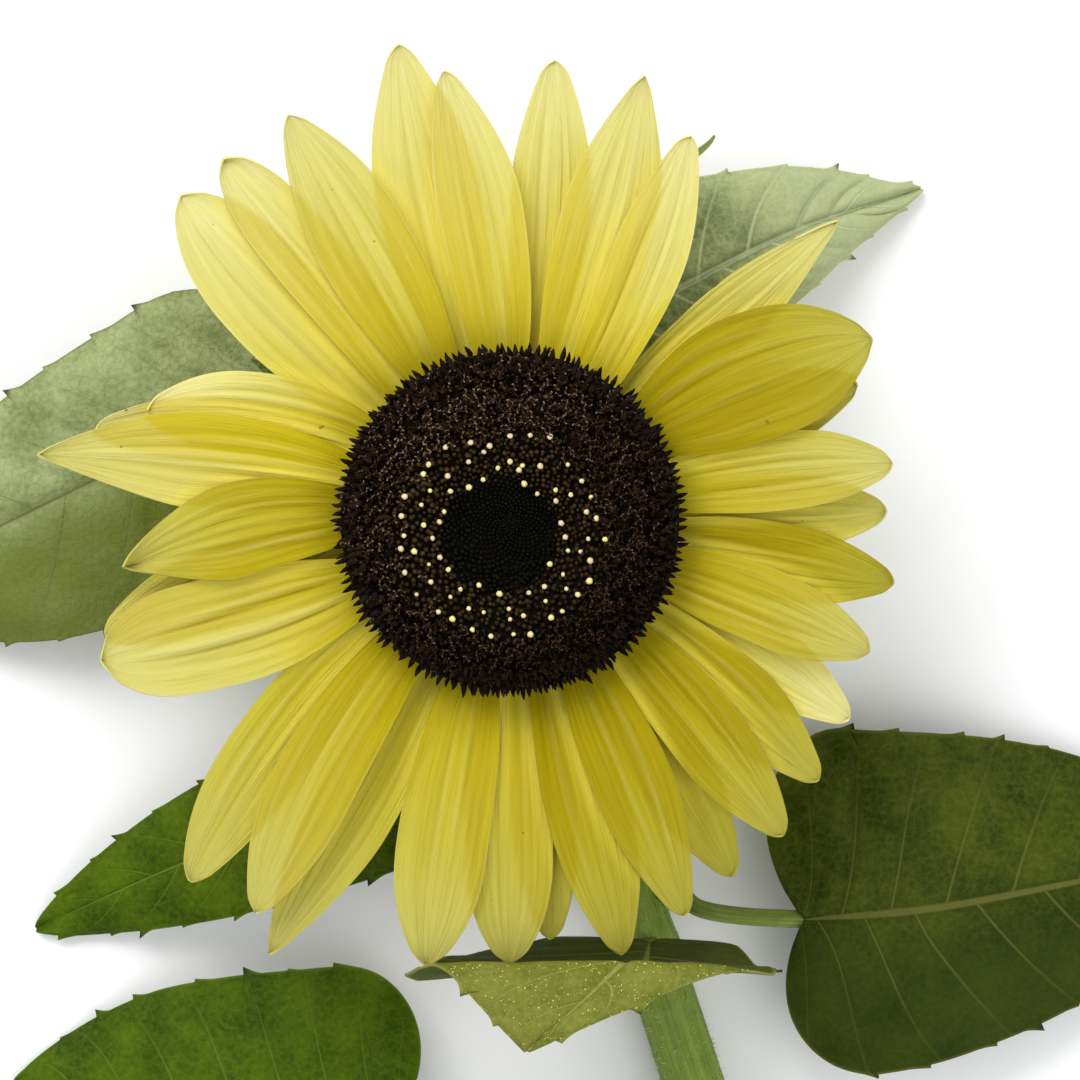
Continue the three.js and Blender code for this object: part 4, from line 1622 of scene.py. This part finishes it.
        # Painted light and shade across the disc: florets on the lit side get paler colours and more painted
        # highlight on their tips.
        lit = self.light(points)
        scatter.build(shape, base, axes, chance.uniform(0, FULL_TURN, count), sizes,
                      chance.uniform(0, 1, count) * (0.28 + 0.72 * lit),
                      lit * chance.uniform(0, 1, count) ** 1.5)

    def _scales(self, chance: Chance) -> None:
        """Builds the dark pointed scales that jut over the petals' feet.

        Args:
            chance: The random source.
        """
        points, axes = [], []
        for row_radius, drop, lean, count in self.scale_rows:
            for i in range(count):
                angle = (i + chance.uniform(-0.3, 0.3)) / count * FULL_TURN
                skew = angle + self.scale_turn + chance.normal(0, 0.14)
                distance = row_radius + chance.normal(0, 0.2)
                height = self.height(np.array([distance]))[0] - drop
                points.append([distance * math.cos(angle), distance * math.sin(angle), height])
                axes.append([lean * math.cos(skew), lean * math.sin(skew), 1.0 + chance.normal(0, 0.2)])
        count = len(points)
        base = np.array(points)
        growth = chance.uniform(0.85, 1.15, count)
        sizes = np.column_stack([growth, growth, growth * chance.uniform(0.85, 1.15, count)])
        # The scales are painted paler on the disc's lit side.
        Scatter("rim_scales", self.scale_finish, Slot.DISC).build(
            pointed_scale(), base, np.array(axes), chance.normal(0, 0.3, count), sizes,
            chance.uniform(0, 1, count) * (0.1 + 0.9 * self.light(base[:, :2])))

    def _pollen(self, chance: Chance) -> None:
        """Sets balls of pollen in loose rings round the buds.

        Args:
            chance: The random source.
        """
        spots = []
        for ring_radius, count in self.pollen_rings:
            turns = (np.arange(count) + chance.uniform(-0.34, 0.34, count)) / count * FULL_TURN
            distance = ring_radius + chance.normal(0, 0.75, count)
            spots.append(np.column_stack([distance * np.cos(turns), distance * np.sin(turns)]))
        points = np.vstack(spots) + np.array(self.bud_centre)
        count = len(points)
        base = np.column_stack([points, self.height(np.hypot(*points.T)) + self.pollen_rise])
        growth = self.pollen_size * chance.uniform(0.7, 1.12, (count, 1))
        sizes = growth * chance.uniform(0.9, 1.1, (count, 3))
        Scatter("pollen_balls", self.pollen_finish, Slot.DISC).build(
            ball(2, lumps=0.09), base, self.normal(points), chance.uniform(0, FULL_TURN, count), sizes,
            chance.uniform(0, 1, count))


@dataclass
class Cushion:
    """The green receptacle that carries disc, petals and bracts."""

    radius: float = 26.0
    base_radius: float = 7.4
    wall_height: float = 9.5
    rounding: float = 0.6
    golden_from: float = 4.4
    golden_past: float = 3.4
    steps: int = 72
    flare: Pairs = ((0, 0), (0.2, 0.1), (0.55, 0.34), (0.85, 0.68), (1, 1))
    finish: TintedFinish = TintedFinish(
        "cushion_skin", colour(96, 122, 44), colour(146, 168, 86), colour(176, 158, 10), tip_share=1.0,
        grains=260, roughness=0.7, specular=0.1, relief=0.5)

    def build(self) -> None:
        """Builds the cushion as a turned piece, golden where the petals grow out."""
        foot, top, radius = ROW.cushion_foot, ROW.cushion_top, self.radius
        side = [(self.base_radius + (radius - self.base_radius) * widening,
                 foot + (top - self.wall_height - foot) * lift) for widening, lift in self.flare]
        wall = [(radius, top - drop) for drop in (self.golden_from, self.golden_past, self.rounding)]
        draft = Draft()
        draft.add_lathe([(0, foot), *side, *wall, (radius - self.rounding, top), (0, top)], self.steps)
        heights = np.array([vert.co.z for vert in draft.bm.verts]) / MM
        upper = smooth(top - self.golden_from + 0.1, top - self.golden_past - 0.1, heights)
        draft.mark(list(draft.bm.verts), {"along": upper, "tone": np.ones_like(upper)})
        finished(draft.mesh("cushion"), [self.finish.material()], ["receptacle"])


@dataclass
class Stem:
    """The stem that lies on the ground, and the neck that bends up from it to the bloom."""

    heading: float = -72.0
    cut_distance: float = 190.0
    bend_radius: float = 26.0
    neck_radius: float = 7.0
    near_radius: float = 5.2
    cut_radius: float = 5.9
    sides: int = 32
    rib: float = 0.05
    bend_rings: int = 26
    stem_rings: int = 84
    knuckles: Numbers = (40, 58, 72, 82, 116)
    knuckle_swell: float = 0.35
    knuckle_length: float = 2.6
    bark: float = 0.8
    pith_hollow: float = 0.15
    finish: TintedFinish = TintedFinish(
        "stem_skin", colour(92, 116, 26), colour(142, 162, 64), colour(158, 172, 84), grains=320,
        roughness=0.5, specular=0.3, relief=0.35, ribs=7.0)
    pith: TintedFinish = TintedFinish(
        "stem_pith", colour(196, 204, 150), colour(222, 226, 184), colour(230, 232, 196), grains=900,
        roughness=0.8, relief=0.3)

    def radius_at(self, distance: float) -> float:
        """Gives the stem's radius at a distance from the bloom's axis."""
        share = (distance - self.bend_radius) / (self.cut_distance - self.bend_radius)
        return self.near_radius + (self.cut_radius - self.near_radius) * share

    def axis_at(self, distance: float) -> Array:
        """Gives the point of the stem's axis at a distance from the bloom's axis."""
        return np.array([*(compass(self.heading) * distance), self.radius_at(distance)])

    def line(self) -> tuple[Array, Array]:
        """Runs down the neck and along the stem, from the bloom to the cut.

        Returns:
            Points of the axis, and the radius at each.
        """
        points, radii = [], []
        for turn in np.linspace(np.pi / 2, 0, self.bend_rings):
            distance = self.bend_radius * (1 - math.sin(turn))
            height = self.near_radius + self.bend_radius * (1 - math.cos(turn))
            share = turn / (np.pi / 2)
            points.append([*(compass(self.heading) * distance), height])
            radii.append(self.near_radius + (self.neck_radius - self.near_radius) * share ** 2)
        for distance in np.linspace(self.bend_radius, self.cut_distance, self.stem_rings)[1:]:
            swell = sum(self.knuckle_swell * math.exp(-((distance - knuckle) / self.knuckle_length) ** 2)
                        for knuckle in self.knuckles)
            points.append([*self.axis_at(distance)])
            radii.append(self.radius_at(distance) + swell)
        return np.array(points), np.array(radii)

    def build(self) -> None:
        """Builds stem and neck as one ribbed tube with a cut end."""
        draft = Draft()
        edges = draft.add_tube(*self.line(), self.sides, self.rib)
        cut = next(face for face in edges[0].link_faces if len(face.verts) == self.sides)
        bmesh.ops.inset_region(draft.bm, faces=[cut], thickness=self.bark * MM, depth=-self.pith_hollow * MM)
        cut.material_index = 1
        for vert in draft.bm.verts:
            vert.co.z = max(vert.co.z, 0.0)
        bmesh.ops.recalc_face_normals(draft.bm, faces=draft.bm.faces)
        finished(draft.mesh("stem_and_neck"), [self.finish.material(), self.pith.material()],
                 ["stem", "neck"])


STEM = Stem()


class LeafLook(Enum):
    """How a leaf is lit and coloured."""

    # The pale leaf's grey-greens are partly its own colour and partly a painted sheen of its hairs.
    PALE = LeafFinish("leaf_pale", colour(118, 130, 76), colour(164, 174, 122), colour(92, 84, 46),
                      colour(97, 109, 28), boldness=0.5)
    QUILTED = LeafFinish("leaf_quilted", colour(96, 108, 56), colour(154, 164, 108),
                         colour(214, 220, 180), colour(190, 198, 150), boldness=1.6)
    FRESH = LeafFinish("leaf_fresh", colour(46, 66, 0), colour(80, 102, 4), colour(108, 128, 44),
                       colour(50, 70, 0))
    DEEP = LeafFinish("leaf_deep", colour(40, 52, 2), colour(74, 86, 16), colour(112, 110, 54),
                      colour(38, 52, 4))
    DUSTED = LeafFinish("leaf_dusted", colour(88, 100, 22), colour(126, 130, 54), colour(160, 156, 88),
                        colour(56, 68, 20))


@dataclass(frozen=True)
class Leaf:
    """One leaf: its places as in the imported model, and its look."""

    name: str
    socket: tuple[float, float]
    stalk: Triples
    spine: Triples
    left: float
    right: float
    look: LeafLook
    fold: float = 0.1
    arch: float = 0.16
    widest_at: float = 0.27
    power: float = 0.8
    fullness: float = 0.6
    quilt: float = 0.5
    left_shift: float = 0.0
    drape_x: float | None = None


LEAVES = (
    Leaf("leaf_left", (40, 28), ((-2, -34, 14), (-24, -2, 16)),
         ((-41, 25, 17), (-64, 13, 19.5), (-95, -2, 13), (-121, -15, 0.6)), 27.2, 24.4, LeafLook.PALE,
         quilt=0.9, left_shift=0.17),
    Leaf("leaf_left_lower", (58, 22), ((6, -54, 13),),
         ((-12, -43, 14), (-35, -52, 16), (-62, -63, 10), (-87, -74.5, 0.6)), 15.5, 14.5,
         LeafLook.FRESH, fold=0.12, arch=0.14),
    Leaf("leaf_lower_left", (116, 20), ((16, -114, 11), (-4, -112, 12)),
         ((-21, -109, 12), (-42, -108, 14), (-67, -105, 9), (-91, -103, 0.6)), 28, 28,
         LeafLook.FRESH, fold=0.08, arch=0.2),
    Leaf("leaf_lower_centre", (82, 88), ((25.3, -77.6, 13.6),),
         ((0, 9, 0), (1, 24, 0), (3.5, 42, 0), (22, 60.8, 0)), 24, 40, LeafLook.DUSTED, fold=0.0, arch=0.0,
         widest_at=0.66, power=1.0, fullness=0.0, drape_x=25),
    Leaf("leaf_right_lower", (72, 158), ((34, -70, 13),),
         ((53, -72, 15), (75, -70, 17), (105, -65, 10), (132, -60, 0.6)), 34, 29, LeafLook.DEEP, arch=0.18),
    Leaf("leaf_upper_right", (42, 152), ((24, -26, 13), (18, 2, 14)),
         ((10, 30.5, 15), (31, 42.3, 17.5), (53, 53.3, 12), (75, 61, 0.6)), 21, 17, LeafLook.QUILTED,
         arch=0.14, widest_at=0.3, power=1.0, fullness=0.4, quilt=1.5),
)


@dataclass(frozen=True)
class LeafBlade:
    """The shape of one leaf and its stalk.

    The path is its midrib, and the profile the one that a leaf with a drape_x is laid along.
    """

    leaf: Leaf
    number: int
    path: SmoothPath
    profile: SmoothPath

    FIRST_SEED = 40
    LOBE_SWEEP = 0.62
    ROOT_HALF = 1.5
    TIP_HALF = 0.4
    GROUND_GAP = 0.35
    SINK = 0.25
    SLOW_RIPPLE = (2.6, 0.9)
    QUICK_RIPPLE = (5.3, 0.35)
    CREST = (53.5, 56.5)
    TOOTH_PITCH = 7.6
    TOOTH_DEPTH = 1.2
    TOOTH_LEAN = 1.7
    TOOTH_SHARE = 0.3
    VEIN_STARTS = (0.0, 0.1, 0.22, 0.35, 0.49, 0.63, 0.76)
    VEIN_WIDTH = 0.7
    MIDRIB_WIDTH = 0.8
    SOCKET_RADIUS = 2.3
    SOCKET_SINK = 0.4
    SOCKET_FLARE = 0.035
    STALK_RADIUS = 1.7
    MIDRIB_RADIUS = 0.35
    MIDRIB_DROPS = (1.8, 0.5)
    MIDRIB_SHARE = 0.9
    MIDRIB_KNOTS = 8
    STALK_RINGS = 90

    def _half_width(self, side: Array, along: Array) -> Array:
        """Gives half the width of the blade.

        Args:
            side: Which half, by its sign.
            along: Shares along it.

        Returns:
            The half widths.
        """
        leaf = self.leaf
        widest = np.where(side < 0, leaf.left, leaf.right)
        widest_at = leaf.widest_at + leaf.left_shift * (side < 0)
        rise = np.sin(np.pi / 2 * np.clip(along / widest_at, 0, 1)) ** 0.6
        lower = self.ROOT_HALF + (widest - self.ROOT_HALF) * rise
        beyond = np.clip((along - widest_at) / (1 - widest_at), 0, 1)
        share = (1 - beyond) ** leaf.power * (1 + leaf.fullness * beyond)
        return np.where(along < widest_at, lower, self.TIP_HALF + (widest - self.TIP_HALF) * share)

    def _teeth(self, side: Array, along: Array) -> Array:
        """Gives the small hooked teeth of the margins.

        Args:
            side: Place across, -1 to 1.
            along: Place along.

        Returns:
            0 between teeth to about 1 at their points.
        """
        turn = along * self.path.length / self.TOOTH_PITCH + 0.43 * self.number + 0.37 * (side > 0)
        turn = turn + 0.16 * np.sin(1.9 * turn + self.number)
        size = 0.62 + 0.38 * np.sin(np.floor(turn) * 2.4 + self.number)
        hooks = np.clip(1 - (1 - np.mod(turn, 1)) / self.TOOTH_SHARE, 0, 1) ** 1.8 * size
        return hooks * smooth(0.1, 0.25, along) * np.abs(side) ** 16

    def _veins(self, side: Array, along: Array, half: Array) -> Array:
        """Gives the veins' strength over the blade.

        Args:
            side: Place across, -1 to 1.
            along: Place along.
            half: Half width there.

        Returns:
            0 between veins to 1 on them.
        """
        out = np.abs(side)
        strongest = np.exp(-(side * half / self.MIDRIB_WIDTH) ** 2)
        for number, start in enumerate(self.VEIN_STARTS):
            shift = 0.03 * math.sin(number * 2.4) * np.sign(side)
            course = start + shift + VEIN_SLANT * (1 - VEIN_EASE * start) * out ** VEIN_BOW
            gap = (along - course) * self.path.length / math.hypot(1.0, 0.8)
            weight = (1.0 if number in (0, 1) else 0.75) * (1 - 0.75 * out)
            strongest = np.maximum(strongest, np.exp(-(gap / self.VEIN_WIDTH) ** 2) * weight)
        return strongest

    def _painted_light(self, side: Array, along: Array, heights: Array) -> Array:
        """Gives the leaf's painted light and shade: how far its colour goes over to its far colour, which is
        painted shade on the pale leaf's left half, the deep leaf's right half and the dusted leaf below its
        crest, and a paler colour towards the quilted leaf's tip.

        Args:
            side: Place across.
            along: Place along.
            heights: Heights of the corners.

        Returns:
            0 for the near colour to 1 for the far one.
        """
        return {LeafLook.PALE: smooth(-0.25, 0.35, -side),
                LeafLook.QUILTED: smooth(0.4, 0.75, along) * 0.8,
                LeafLook.FRESH: np.zeros_like(along),
                LeafLook.DEEP: smooth(-0.2, 0.5, side) * 0.8,
                LeafLook.DUSTED: 1 - smooth(*self.CREST, heights)}[self.leaf.look]

    def _draped(self, flat: Array) -> Array:
        """Lays a leaf that stands up along the profile, and leaves the others as they are.

        Args:
            flat: Points of the leaf drawn flat.

        Returns:
            The points in place.
        """
        if self.leaf.drape_x is None:
            return flat
        share = np.clip(flat[:, 1] / self.profile.length, 0, 1)
        point, tangent = self.profile.at(share, by_length=True)
        outward = np.stack([np.zeros(len(flat)), tangent[:, 2], -tangent[:, 1]], axis=1)
        placed = point + outward * flat[:, 2:3]
        placed[:, 0] = self.leaf.drape_x - flat[:, 0]
        return placed

    def place(self, side: Array, along: Array) -> tuple[Array, Marks]:
        """Places the leaf's corners.

        Args:
            side: Place across, -1 to 1.
            along: Place along.

        Returns:
            The points and their marks.
        """
        leaf = self.leaf
        phases = np.random.default_rng(self.number + self.FIRST_SEED).uniform(0, FULL_TURN, 4)
        point, tangent = self.path.at(along)
        if leaf.drape_x is not None:
            tangent = np.broadcast_to([0.0, 1.0, 0.0], tangent.shape)
        across = unit(np.cross(tangent, UP))
        outward = np.cross(across, tangent)
        half = self._half_width(side, along)
        tooth = self._teeth(side, along)
        reach = half * side + self.TOOTH_DEPTH * tooth * np.sign(side)
        sweep = self.LOBE_SWEEP * half * side ** 2 * (1 - along) ** 3 - self.TOOTH_LEAN * tooth
        lift = half * (leaf.fold * np.abs(side) * (1 - along) ** 2 - leaf.arch * side ** 2)
        quilt = leaf.quilt * (1 - self._veins(side, along, half)) * smooth(0.0, 0.25, 1 - np.abs(side))
        (slow, slow_height), (quick, quick_height) = self.SLOW_RIPPLE, self.QUICK_RIPPLE
        ripple = np.sin(FULL_TURN * slow * along + phases[1] + side) * slow_height
        ripple += np.sin(FULL_TURN * quick * along + phases[2]) * quick_height
        lift = lift + quilt + ripple * side ** 2 * smooth(0.05, 0.2, along) - self.SINK
        points = self._draped(point + across * reach[:, None] - tangent * sweep[:, None]
                              + outward * lift[:, None])
        points[:, 2] = np.maximum(points[:, 2], self.GROUND_GAP)
        return points, {"along": along, "across": side, "fold": tooth,
                        "tone": self._painted_light(side, along, points[:, 2]),
                        "seed": np.full_like(side, self.number / len(LEAVES))}

    def stalk(self) -> tuple[Array, Array]:
        """Runs the stalk from the stem to the blade and on under it as the midrib.

        Returns:
            Points of its axis, and the radius at each.
        """
        distance, around = self.leaf.socket
        left = np.array([*compass(STEM.heading - 90), 0.0])
        outward = left * math.cos(math.radians(around)) + UP * math.sin(math.radians(around))
        skin = STEM.axis_at(distance) + outward * (STEM.radius_at(distance) - self.SOCKET_SINK)
        knots = [skin, skin + outward * (self.SOCKET_RADIUS + 0.7), *self.leaf.stalk]
        point, tangent = self.path.at(np.linspace(0, self.MIDRIB_SHARE, self.MIDRIB_KNOTS))
        across = unit(np.cross(tangent, UP))
        drops = np.linspace(*self.MIDRIB_DROPS, self.MIDRIB_KNOTS)[:, None]
        line = SmoothPath([*knots, *self._draped(point - np.cross(across, tangent) * drops)])
        run = np.linspace(0, 1, self.STALK_RINGS)
        points, _ = line.at(run, by_length=True)
        free = 1 - min(0.95, self.MIDRIB_SHARE * self.path.length / line.length)
        thinning = np.clip((run - free) / (1 - free), 0, 1) ** 0.7
        radii = self.STALK_RADIUS + (self.MIDRIB_RADIUS - self.STALK_RADIUS) * thinning
        flare = self.SOCKET_RADIUS + 0.5 - self.STALK_RADIUS
        radii = radii + flare * np.exp(-(run / self.SOCKET_FLARE) ** 2)
        points[:, 2] = np.maximum(points[:, 2], radii + 0.1)
        return points, radii


@dataclass
class Leaves:
    """The six leaves, each with its stalk, and the pollen that fell on one."""

    columns: int = 40
    rows: int = 200
    thickness: float = 0.45
    stalk_sides: int = 12
    stalk_rib: float = 0.06
    standing_profile: Pairs = (
        (-74, 12), (-75.5, 20), (-77.5, 30), (-79.2, 39), (-79.5, 47), (-78.6, 52), (-77, 55.4),
        (-79.6, 58), (-86, 59.2), (-92.3, 59.5))
    grains: int = 480
    grain_tries: int = 6000
    grain_seed: int = 23
    grain_rise: float = 0.28
    grains_from: float = 50.0
    stalk_finish: TintedFinish = TintedFinish(
        "stalk_skin", colour(84, 104, 28), colour(138, 152, 74), colour(138, 152, 74), grains=420,
        specular=0.15, relief=0.3, ribs=3.0)
    grain_finish: TintedFinish = TintedFinish(
        "fallen_pollen_skin", colour(186, 170, 84), colour(216, 204, 120), colour(220, 208, 130),
        roughness=0.8, specular=0.1)

    def build(self) -> None:
        """Builds each leaf and its stalk, and the fallen pollen."""
        materials = {look: look.value.material() for look in LeafLook}
        stalk_skin = self.stalk_finish.material()
        profile = SmoothPath([(0.0, distance, height) for distance, height in self.standing_profile])
        for number, leaf in enumerate(LEAVES):
            blade = LeafBlade(leaf, number, SmoothPath(leaf.spine), profile)
            draft = Draft()
            draft.add_blade(self.columns, self.rows, blade.place)
            mesh = draft.mesh(leaf.name + "_blade")
            finished(mesh, [materials[leaf.look]], [leaf.name], self.thickness)
            draft = Draft()
            draft.add_tube(*blade.stalk(), self.stalk_sides, self.stalk_rib)
            bmesh.ops.recalc_face_normals(draft.bm, faces=draft.bm.faces)
            finished(draft.mesh(leaf.name + "_stalk"), [stalk_skin])
            if leaf.look is LeafLook.DUSTED:
                self._fallen_pollen(mesh)

    def _fallen_pollen(self, mesh: Mesh) -> None:
        """Strews pollen on the leaf that stands up under the petals.

        Args:
            mesh: That leaf's mesh.
        """
        chance = np.random.default_rng(self.grain_seed)
        points, normals = surface_points(mesh, self.grain_tries, chance)
        upward = (normals[:, 2] > 0.5) & (points[:, 2] > self.grains_from)
        points, normals = points[upward][:self.grains], normals[upward][:self.grains]
        count = len(points)
        growth = (0.05 + 0.13 * chance.uniform(0, 1, (count, 1)) ** 2.5) * np.array([[1, 1, 0.7]])
        Scatter("fallen_pollen", self.grain_finish, Slot.LEAF).build(
            ball(1), points + normals * self.grain_rise, normals, chance.uniform(0, FULL_TURN, count), growth,
            chance.uniform(0, 1, count))


def surface_points(mesh: Mesh, count: int, chance: Chance) -> tuple[Array, Array]:
    """Picks points all over a mesh, as many to any two equal areas.

    Faces are taken by their corners' numbers, because their own order can differ from run to run.

    Args:
        mesh: The mesh, in metres.
        count: How many points.
        chance: The random source.

    Returns:
        Points in millimetres of the bloom's frame, and the normals there.
    """
    corners = np.array([vert.co for vert in mesh.vertices], float)
    rings = []
    for face in mesh.polygons:
        numbers = list(face.vertices)
        first = numbers.index(min(numbers))
        rings.append(numbers[first:] + numbers[:first])
    rings.sort()
    centres = np.array([corners[ring].mean(axis=0) for ring in rings])
    spans = np.array([np.cross(corners[ring], np.roll(corners[ring], -1, axis=0)).sum(axis=0) / 2
                      for ring in rings])
    areas = np.linalg.norm(spans, axis=1)
    chosen = chance.choice(len(areas), count, p=areas / areas.sum())
    starts = corners[[rings[number][0] for number in chosen]]
    stray = chance.uniform(-0.9, 0.9, (count, 1)) * (starts - centres[chosen])
    return (centres[chosen] + stray) / MM - ROW.origin, unit(spans)[chosen]


@dataclass
class Hairs:
    """Short pale hairs on stem, cushion and bracts."""

    length: float = 1.1
    seed: int = 31
    wanted: tuple[tuple[str, int], ...] = (("stem_and_neck", 3600), ("cushion", 1500), ("bracts", 2600))
    below_share: float = 0.8
    bract_skin: float = 0.2
    ground_gap: float = 0.15
    lying_height: float = 1.5
    stray: float = 0.35
    finish: TintedFinish = TintedFinish(
        "hair", colour(170, 184, 120), colour(206, 214, 168), colour(228, 232, 204), tip_share=0.6,
        roughness=0.5)

    def build(self) -> None:
        """Builds the hairs of each hairy piece, all of them as one piece."""
        chance = np.random.default_rng(self.seed)
        points, normals = [], []
        for name, count in self.wanted:
            spots, ways = surface_points(bpy.data.objects[name].data, count, chance)
            if name == "bracts":
                ways = ways * np.where(chance.random(count) < self.below_share, -1, 1)[:, None]
                spots = spots + ways * self.bract_skin
            free = spots[:, 2] + ways[:, 2] * self.length > self.ground_gap
            points.append(spots[free])
            normals.append(ways[free])
        spots, ways = np.vstack(points), np.vstack(normals)
        count = len(spots)
        axes = ways + chance.normal(0, self.stray, (count, 3))
        axes[:, 2] = np.where(spots[:, 2] < self.lying_height, np.abs(axes[:, 2]), axes[:, 2])
        length = self.length * chance.uniform(0.5, 1.3, count)
        sizes = np.column_stack([np.ones(count), np.ones(count), length])
        Scatter("hairs", self.finish, Slot.STEM).build(
            single_hair(), spots, axes, chance.uniform(0, FULL_TURN, count), sizes,
            chance.uniform(0, 1, count))


@dataclass(frozen=True)
class Lamp:
    """A soft square lamp: its place in the bloom's frame, its side, and its power in watts."""

    name: str
    place: tuple[float, float, float]
    size: float
    power: float

    def build(self, height: float) -> None:
        """Adds the lamp, which faces a point of the bloom's axis.

        Args:
            height: That point's height.
        """
        data = bpy.data.lights.new(self.name, "AREA")
        data.shape = "SQUARE"
        data.size = self.size * MM
        data.energy = self.power
        lamp = added(self.name, data)
        spot, target = (Vector(ROW.to_row(np.array(point))) for point in (self.place, (0.0, 0.0, height)))
        lamp.location = spot
        lamp.rotation_euler = (target - spot).to_track_quat("-Z", "Y").to_euler()


@dataclass
class Studio:
    """A plain pale floor, soft light from above, and the camera."""

    frame_width: float = 189.0
    picture_centre: tuple[float, float] = (5.25, -3.325)
    bloom_height: float = 50.0
    camera_distance: float = 1050.0
    sensor: float = 36.0
    floor_half: float = 2.5
    floor_drop: float = 0.0002
    floor_tint: Colour = colour(246, 246, 246)
    floor_roughness: float = 0.9
    floor_specular: float = 0.1
    sky: Colour = (0.97, 0.985, 1.0, 1.0)
    sky_strength: float = 0.75
    lamps: tuple[Lamp, ...] = (Lamp("key", (-420.0, 620.0, 760.0), 700.0, 9.0),
                               Lamp("fill", (520.0, -420.0, 700.0), 900.0, 3.5))

    def build(self) -> None:
        """Builds floor, lights and camera."""
        self._floor()
        self._sky()
        for lamp in self.lamps:
            lamp.build(self.bloom_height)
        self._camera()

    def _floor(self) -> None:
        """Builds the floor, which isn't part of the plant."""
        bm = bmesh.new()
        bmesh.ops.create_grid(bm, x_segments=4, y_segments=4, size=self.floor_half,
                              matrix=Matrix.Translation((0, 0, -self.floor_drop)))
        mesh = bpy.data.meshes.new("floor")
        bm.to_mesh(mesh)
        bm.free()
        mesh.materials.append(dressed("floor_paint", self._paint, self.floor_roughness, self.floor_specular))
        added("floor", mesh)

    def _paint(self, net: Net, body: Node) -> None:
        """Gives the floor its plain colour."""
        net.feed(body.inputs["Base Color"], self.floor_tint)

    def _sky(self) -> None:
        """Lights the scene evenly from all round."""
        world = bpy.data.worlds.new("studio")
        world.use_nodes = True
        shade = world.node_tree.nodes["Background"]
        Net(world.node_tree).fill(shade, {"Color": self.sky, "Strength": self.sky_strength})
        bpy.context.scene.world = world
        bpy.context.scene.view_settings.view_transform = "Standard"

    def _camera(self) -> None:
        """Looks straight down on the bloom, as the photo looks straight at it."""
        data = bpy.data.cameras.new("camera")
        data.sensor_width = self.sensor
        data.lens = self.sensor * self.camera_distance / self.frame_width
        camera = added("camera", data)
        height = self.bloom_height + self.camera_distance
        camera.location = ROW.to_row(np.array([*self.picture_centre, height]))
        bpy.context.scene.camera = camera


def main() -> None:
    """Builds the plant's parts and the studio in order."""
    logging.basicConfig(level=logging.INFO, format="%(name)s: %(message)s")
    for part in (Cushion(), STEM, Bracts(), Leaves(), RayPetals(), Disc(), Hairs(), Studio()):
        part.build()
        LOG.info("built %s", type(part).__name__)


if __name__ == "__main__":
    main()
